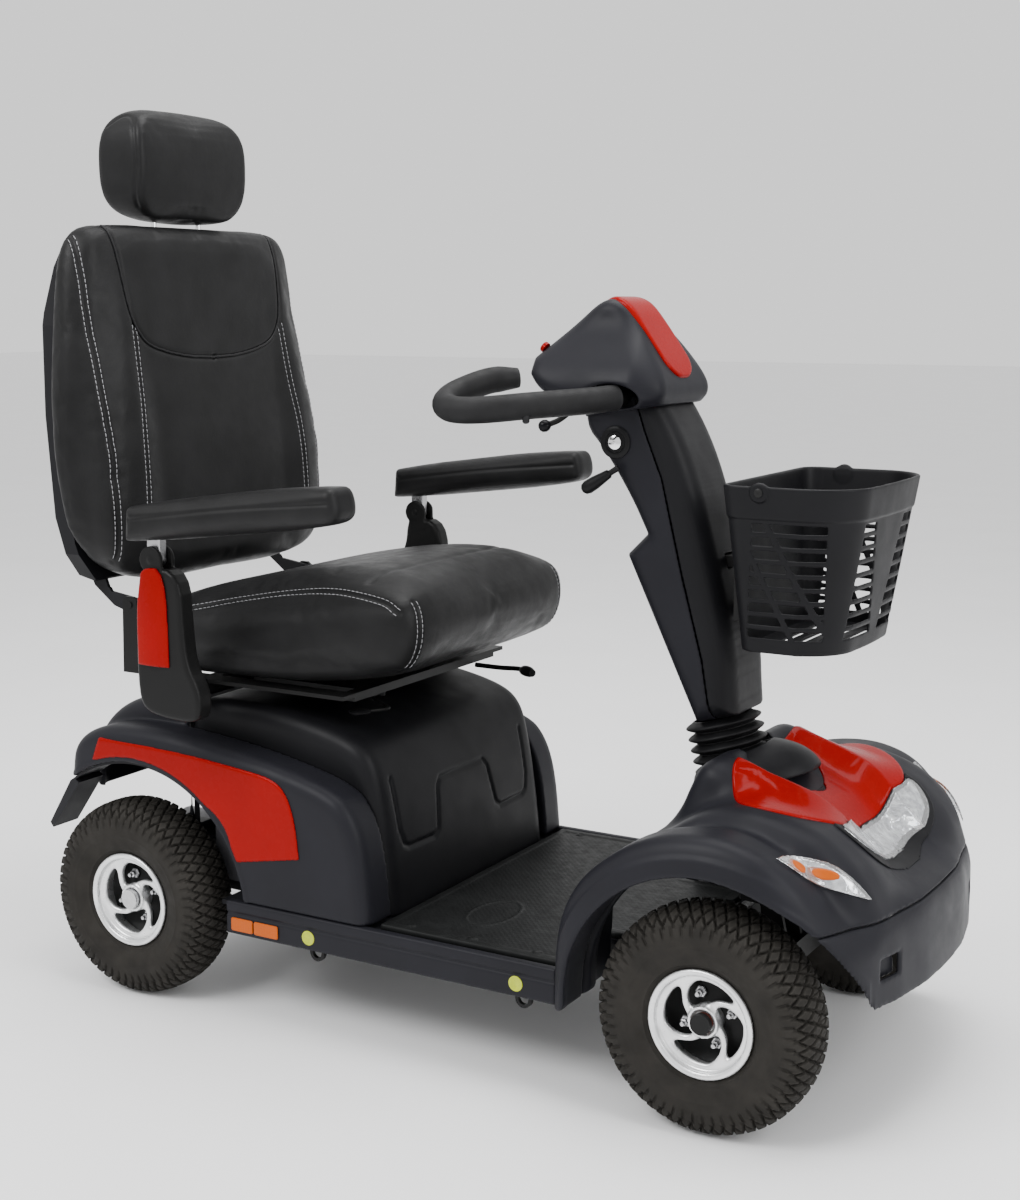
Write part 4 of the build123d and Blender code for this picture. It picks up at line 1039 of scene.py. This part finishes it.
def puffed(name, grid, distance, body, nodes, cap, hold_below=None):
    """A stuffed vinyl piece: a closed form blown up as cloth, and smoothed."""
    points, quads = skin_of(grid, distance)
    piece = joined(name, [(points, quads)], hide, body, nodes)
    before = points * MM
    scene = bpy.context.scene
    cloth = piece.modifiers.new("stuffing", "CLOTH")
    cloth.settings.quality = 5
    cloth.settings.mass = 0.4
    cloth.settings.tension_stiffness = 25
    cloth.settings.compression_stiffness = 25
    cloth.settings.bending_stiffness = 6
    cloth.settings.use_pressure = True
    cloth.settings.uniform_pressure_force = 3
    cloth.settings.effector_weights.gravity = 0
    cloth.point_cache.frame_start = 1
    cloth.point_cache.frame_end = 20
    for number in range(1, 21):
        scene.frame_set(number)
    after_mesh = piece.evaluated_get(bpy.context.evaluated_depsgraph_get()).data
    after = np.empty(len(before) * 3, np.float32)
    after_mesh.vertices.foreach_get("co", after)
    move = after.reshape(-1, 3).astype(float) - before
    size = np.linalg.norm(move, axis=1)[:, None]
    move *= np.minimum(1, cap * MM / np.maximum(size, 1e-9))
    move = calmed(piece.data, move)
    if hold_below is not None:
        move *= step_between(hold_below, hold_below + 40, points[:, 2])[:, None]
    piece.modifiers.remove(cloth)
    scene.frame_set(1)
    piece.data.vertices.foreach_set("co", (before + move).ravel())
    piece.data.update()
    finer = piece.modifiers.new("finer", "SUBSURF")
    finer.levels = finer.render_levels = 1
    shaped = bpy.data.meshes.new_from_object(piece.evaluated_get(bpy.context.evaluated_depsgraph_get()))
    piece.modifiers.remove(finer)
    piece.data = shaped
    shaped.polygons.foreach_set("use_smooth", np.ones(len(shaped.polygons), bool))
    return piece


def surface_of(mesh):
    """A mesh's surface, ready for rays and nearest points."""
    return BVHTree.FromPolygons([v.co for v in mesh.vertices], [p.vertices[:] for p in mesh.polygons])


def cast_line(surface, line, toward, spacing):
    """Where a smooth line, thrown at a surface, lands: points with their normals."""
    way = Vector(toward).normalized()
    spots = [surface.ray_cast(Vector(point) * MM - way * 0.35, way,
                              0.7)[:2] for point in smooth_path(line, spacing)]
    return [(hit, normal) for hit, normal in spots if hit is not None]


def press(mesh, every, depth, width):
    """Press a groove into a mesh along a row of points."""
    co, normals = (np.empty(len(mesh.vertices) * 3, np.float32) for _ in range(2))
    mesh.vertices.foreach_get("co", co)
    mesh.vertex_normals.foreach_get("vector", normals)
    co, normals = co.reshape(-1, 3).astype(float), normals.reshape(-1, 3)
    tree = KDTree(len(every))
    for number, hit in enumerate(every):
        tree.insert(hit, number)
    tree.balance()
    low, high = np.min(every, axis=0) - 0.02, np.max(every, axis=0) + 0.02
    for number in np.nonzero(np.all((co > low) & (co < high), axis=1))[0]:
        distance = tree.find(Vector(co[number]))[2] / MM
        if distance < 3 * width:
            co[number] -= normals[number] * depth * MM * math.exp(-(distance / width) ** 2)
    mesh.vertices.foreach_set("co", co.ravel())
    mesh.update()


def stitch(surface, hit, normal, ahead, offset):
    """One stitch beside a seam, its middle standing a little off the surface."""
    across = normal.cross(ahead - hit).normalized() * offset * MM
    line = []
    for spot, rise in zip((hit, (hit + ahead) / 2, ahead), (0.1, 0.6, 0.1)):
        place, outward, _, _ = surface.find_nearest(spot + across)
        line.append(np.array(place + outward * rise * MM) / MM)
    return tube_mesh(np.array(line), [0.45, 0.62, 0.45], 6)


def sewn(piece, body, line, toward, depth=2.6, width=4.5, stitched=True, gap=5.0):
    """Press a seam line into a piece and lay a row of stitches on each side of it."""
    path = cast_line(surface_of(piece.data), line, toward, 2.0)
    if not path:
        return
    press(piece.data, [hit for hit, _ in path], depth, width)
    if not stitched:
        return
    surface = surface_of(piece.data)
    parts = []
    for offset in (-gap, gap):
        for start in range(0, len(path) - 4, 4):
            hit, normal = path[start]
            ahead = path[start + 3][0]
            if 1e-4 <= (ahead - hit).length <= 0.012:
                parts.append(stitch(surface, hit, normal, ahead, offset))
    if parts:
        joined(f"{piece.name}_stitches_{len(bpy.data.objects)}", parts, thread, body)


def piped(piece, body, line, toward):
    """A thin cord of piping laid along a seam."""
    path = cast_line(surface_of(piece.data), line, toward, 4.0)
    path = [np.array(hit + normal * 0.0012) / MM for hit, normal in path]
    joined(f"{piece.name}_piping_{len(bpy.data.objects)}", [tube_mesh(np.array(path), 2.0, 8)], hide, body)


cushion_view = [(-538, 507), (-380, 507), (-200, 513), (-60, 540), (-36, 560), (-24, 602), (-32, 646),
                (-62, 660), (-160, 666), (-349, 640), (-520, 606), (-538, 594)]
g = Grid((-552, -256, 496), (-12, 256, 700), 5)
y = np.abs(g.y)
crown_view = [(-500, 560), (-480, 606), (-349, 648), (-160, 680), (-80, 674), (-48, 648), (-40, 600),
              (-60, 560)]
form = smooth_max(g.side(soft(cushion_view, 2)), y - 240, 44)
crown = smooth_max(g.side(soft(crown_view, 2)), y - 196, 60)
seat = puffed("seat_cushion_cover", g, smooth_min(form, crown, 40), "seat", ["seat_cushion"], 7, 508)
side_top = [(-520, -243, 596), (-440, -243, 610), (-349, -243, 630), (-250, -243, 648), (-160, -243, 657),
            (-80, -243, 650), (-48, -243, 636)]
for side in (-1, 1):
    edge_line = [(x, side * 232, z) for x, y, z in side_top]
    sewn(seat, "seat", edge_line, (0, -side, 0), 2.4, 4.0)
    sewn(seat, "seat", [(-80, side * 205, 650), (-50, side * 208, 610), (-46, side * 208, 575),
                         (-60, side * 208, 545)], (-1, 0, 0), 2.4, 4.0)
sewn(seat, "seat", [(-120, -200, 700), (-110, 0, 700), (-120, 200, 700)], (0, 0, -1), 1.6, 6, False)

back_profile = [(-558, 622), (-534, 660), (-532, 760), (-538, 860), (-558, 980), (-580, 1100), (-594, 1190),
                (-618, 1210), (-655, 1192), (-663, 1080), (-659, 900), (-636, 700), (-612, 630)]
back_half = [(0, 630), (150, 630), (264, 638), (290, 700), (301, 790), (301, 880), (290, 1010),
             (271, 1130), (256, 1180), (222, 1204), (80, 1209), (0, 1209)]
g = Grid((-680, -314, 616), (-520, 314, 1222), 5)
y = np.abs(g.y)
form = smooth_max(g.side(soft(back_profile, 2)), g.face(soft(mirrored(back_half, 0), 2)), 16)
form = form + 32 * (y / 290) ** 4 * step_between(-640, -590, g.x)
hollow = 16 * step_between(215, 150, y) * step_between(-600, -560, g.x) * step_between(640, 720, g.z)
back = puffed("backrest_cover", g, form + hollow * step_between(1190, 1100, g.z), "backrest",
              ["backrest_cushion"], 7)
front = -540
for side in (-1, 1):
    rail = [(238, 1192), (254, 1160), (258, 1060), (260, 930), (260, 780), (256, 680), (250, 650)]
    sewn(back, "backrest", [(front, side * y, z) for y, z in rail], (-1, 0, 0))
    curve = [(200, 1200), (194, 1108), (184, 1050), (160, 1016), (120, 1000), (60, 990), (0, 987)]
    sewn(back, "backrest", [(front, side * y, z) for y, z in curve], (-1, 0, 0), 3.4, 4.5, False)
    piped(back, "backrest", [(front, side * y, z) for y, z in curve], (-1, 0, 0))
    panel = [(184, 1040), (190, 940), (199, 860), (203, 771), (204, 690)]
    sewn(back, "backrest", [(front, side * y, z) for y, z in panel], (-1, 0, 0))

head_profile = [(-602, 1212), (-590, 1290), (-598, 1366), (-630, 1384), (-670, 1378), (-690, 1320),
                (-684, 1226), (-656, 1203), (-612, 1203)]
g = Grid((-700, -150, 1196), (-580, 150, 1392), 4)
y = np.abs(g.y)
form = smooth_max(g.side(soft(head_profile, 2)), y - 136, 16)
form = smooth_max(form, np.sqrt(np.maximum(y - 66, 0) ** 2 + np.maximum(np.abs(g.z - 1293) - 20, 0) ** 2)
                  - 72, 14)
head = puffed("headrest_cover", g, form, "headrest", ["headrest_pad"], 5)
for side in (-1, 1):
    ring = [(-614, 1226), (-604, 1290), (-612, 1350), (-640, 1368), (-668, 1352)]
    sewn(head, "headrest", [(x, side * 112, z) for x, z in ring], (0, -side, 0), 2.0, 3.5, False)

pad_view = [(-434, 730), (-430, 781), (-72, 830), (-56, 822), (-50, 790), (-62, 776), (-100, 771)]
for hand, side in hands:
    middle = side * armrest_side
    g = Grid((-446, middle - 42, 718), (-38, middle + 42, 842), 3)
    out = np.abs(g.y - middle)
    form = smooth_max(g.side(soft(pad_view, 2, (0, 1))), out - 31, 18)
    pad = puffed(f"armrest_pad_{hand}", g, form, f"armrest_{hand}", [f"armrest_{hand}"], 4)
    for way in (-1, 1):
        sewn(pad, f"armrest_{hand}", [(-420, middle, 764), (-240, middle, 789), (-66, middle, 806)],
             (0, way, 0), 1.6, 3, False)
    # pivot lug under the pad
    g = Grid((-412, middle - 12, 690), (-376, middle + 12, 745), 1.5)
    lug = np.maximum(np.minimum(g.round_y(*armrest_pivot) - 12,
                                np.maximum(np.abs(g.x + 394) - 12, np.abs(g.z - 722) - 20)),
                     np.abs(g.y - middle) - 8)
    lug = np.maximum(lug, 5.1 - g.round_y(*armrest_pivot))
    moulded(f"armrest_lug_{hand}", g, smooth_max(lug, lug - 1, 1), steel, f"armrest_{hand}")

post_view = [(-428, 520), (-420, 480), (-380, 470), (-318, 468), (-308, 490), (-312, 520), (-332, 552),
             (-338, 600), (-342, 690), (-402, 696), (-412, 684), (-415, 650), (-426, 626)]
for hand, side in hands:
    low_y, high_y = sorted((side * 318, side * 370))
    g = Grid((-444, low_y, 460), (-300, high_y, 730), 1.8)
    out = g.y * side
    post = smooth_max(g.side(soft(post_view, 2)), np.abs(out - armrest_side) - 16, 8)
    foot = smooth_max(smooth_max(np.abs(g.x + 419) - 12, np.abs(out - 335) - 13, 3),
                      np.abs(g.z - 490) - 12, 3)
    post = smooth_min(post, foot, 6)
    for ear in (336.5, 361.5):
        disc = np.maximum(np.minimum(g.round_y(*armrest_pivot) - 20,
                                     np.maximum(np.abs(g.x + 390) - 16, np.abs(g.z - 690) - 14)),
                          np.abs(out - ear) - 3.4)
        post = smooth_min(post, disc, 3)
    post = np.maximum(post, -np.maximum(np.abs(out - armrest_side) - 9, 692 - g.z))
    pin = np.maximum(g.round_y(*armrest_pivot) - 5, np.abs(out - armrest_side) - 17)
    moulded(f"armrest_post_{hand}", g, np.minimum(post, pin), paint, "seat",
            ["armrest_posts"] if side < 0 else ())
    g = Grid((-444, min(side * 360, side * 372), 540), (-354, max(side * 360, side * 374), 708), 1.5)
    out = g.y * side
    cover_view_red = [(-421, 548), (-362, 548), (-364, 694), (-408, 694), (-413, 668), (-421, 632)]
    bow = 3.5 * ((g.x + 392) / 30) ** 2
    cover = smooth_max(g.side(soft(cover_view_red, 2, (0, 1))), out - 371.4 + bow, 3)
    cover = np.maximum(cover, 365.2 - out)
    moulded(f"armrest_post_cover_{hand}", g, cover, red, "seat",
            ["armrest_post_covers"] if side < 0 else ())

# levers under the seat
bar("swivel_lever_rod", [([(-200, -60, 472), (-190, -98, 472), (-150, -128, 472), (-126, -150, 472),
                           (-150, -188, 472)], 2.6)], paint, "swivel_lever", ["swivel_lever"])
lathe("swivel_lever_paddle", [((-150, -188, 469.6), (0, 0, 1), [(0, 0), (0, 14), (1, 16), (2.5, 17),
                                                                (4, 16), (5, 13), (5, 0)], 32),
                              ((-200, -60, 467.5), (0, 0, 1), [(0, 0), (0, 7), (6.2, 7), (6.2, 0)], 24)],
      control, "swivel_lever")
bar("slide_lever_rod", [([(-160, 160, 481), (-112, 160, 481), (-72, 150, 485), (-40, 128, 487)], 4)],
    paint, "slide_lever", ["slide_lever"])
bar("slide_lever_grip", [([(-62, 144, 485), (-46, 132, 487), (-30, 122, 487)], [6, 8.5, 9, 8.5, 6])],
    control, "slide_lever")

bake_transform(bellows)

# ---- floor, light and camera --------------------------------------------------------------------
bpy.ops.mesh.primitive_plane_add(size=60, location=(0, 0, 0))
ground = bpy.context.object
ground.name = "studio_floor"
ground_look = Look("studio_floor_look", 0.6)
ground_look.colour(ground_look.noise(3, 2), 0.3, (0.86, 0.86, 0.865), 0.7, (0.88, 0.88, 0.885))
ground.data.materials.append(ground_look.material)

world = bpy.data.worlds.new("studio")
bpy.context.scene.world = world
world.use_nodes = True
world.node_tree.nodes["Background"].inputs["Color"].default_value = (1, 1, 1, 1)
world.node_tree.nodes["Background"].inputs["Strength"].default_value = 1.15


def softbox(name, place, aim, size, power):
    """A square area light at a place, pointing at a point."""
    light = bpy.data.lights.new(name, "AREA")
    light.shape = "RECTANGLE"
    light.size, light.size_y = size
    light.energy = power
    lamp = bpy.data.objects.new(name, light)
    lamp.location = place
    lamp.rotation_euler = (Vector(aim) - Vector(place)).to_track_quat("-Z", "Y").to_euler()
    bpy.context.scene.collection.objects.link(lamp)


softbox("key_light", (-1.2, -2.8, 3.2), (0, 0, 0.5), (2.4, 1.6), 130)
softbox("top_light", (0.2, 0.4, 3.6), (0, 0, 0.5), (2.6, 2.2), 120)
softbox("fill_light", (3.2, -0.6, 2.0), (0.3, 0, 0.5), (1.2, 2.4), 60)

camera_data = bpy.data.cameras.new("camera")
camera_data.sensor_width = camera_data.sensor_height = 36
camera_data.lens = 52.96
camera_data.shift_x = -0.0082
camera_data.shift_y = -0.0011
camera = bpy.data.objects.new("camera", camera_data)
camera.location = (1.3464, -2.2960, 1.0692)
azimuth, elevation = math.radians(30.07), math.radians(9.4)
back_way = Vector((math.sin(azimuth) * math.cos(elevation), -math.cos(azimuth) * math.cos(elevation),
                   math.sin(elevation)))
camera.rotation_euler = (-back_way).to_track_quat("-Z", "Y").to_euler()
bpy.context.scene.collection.objects.link(camera)
bpy.context.scene.camera = camera
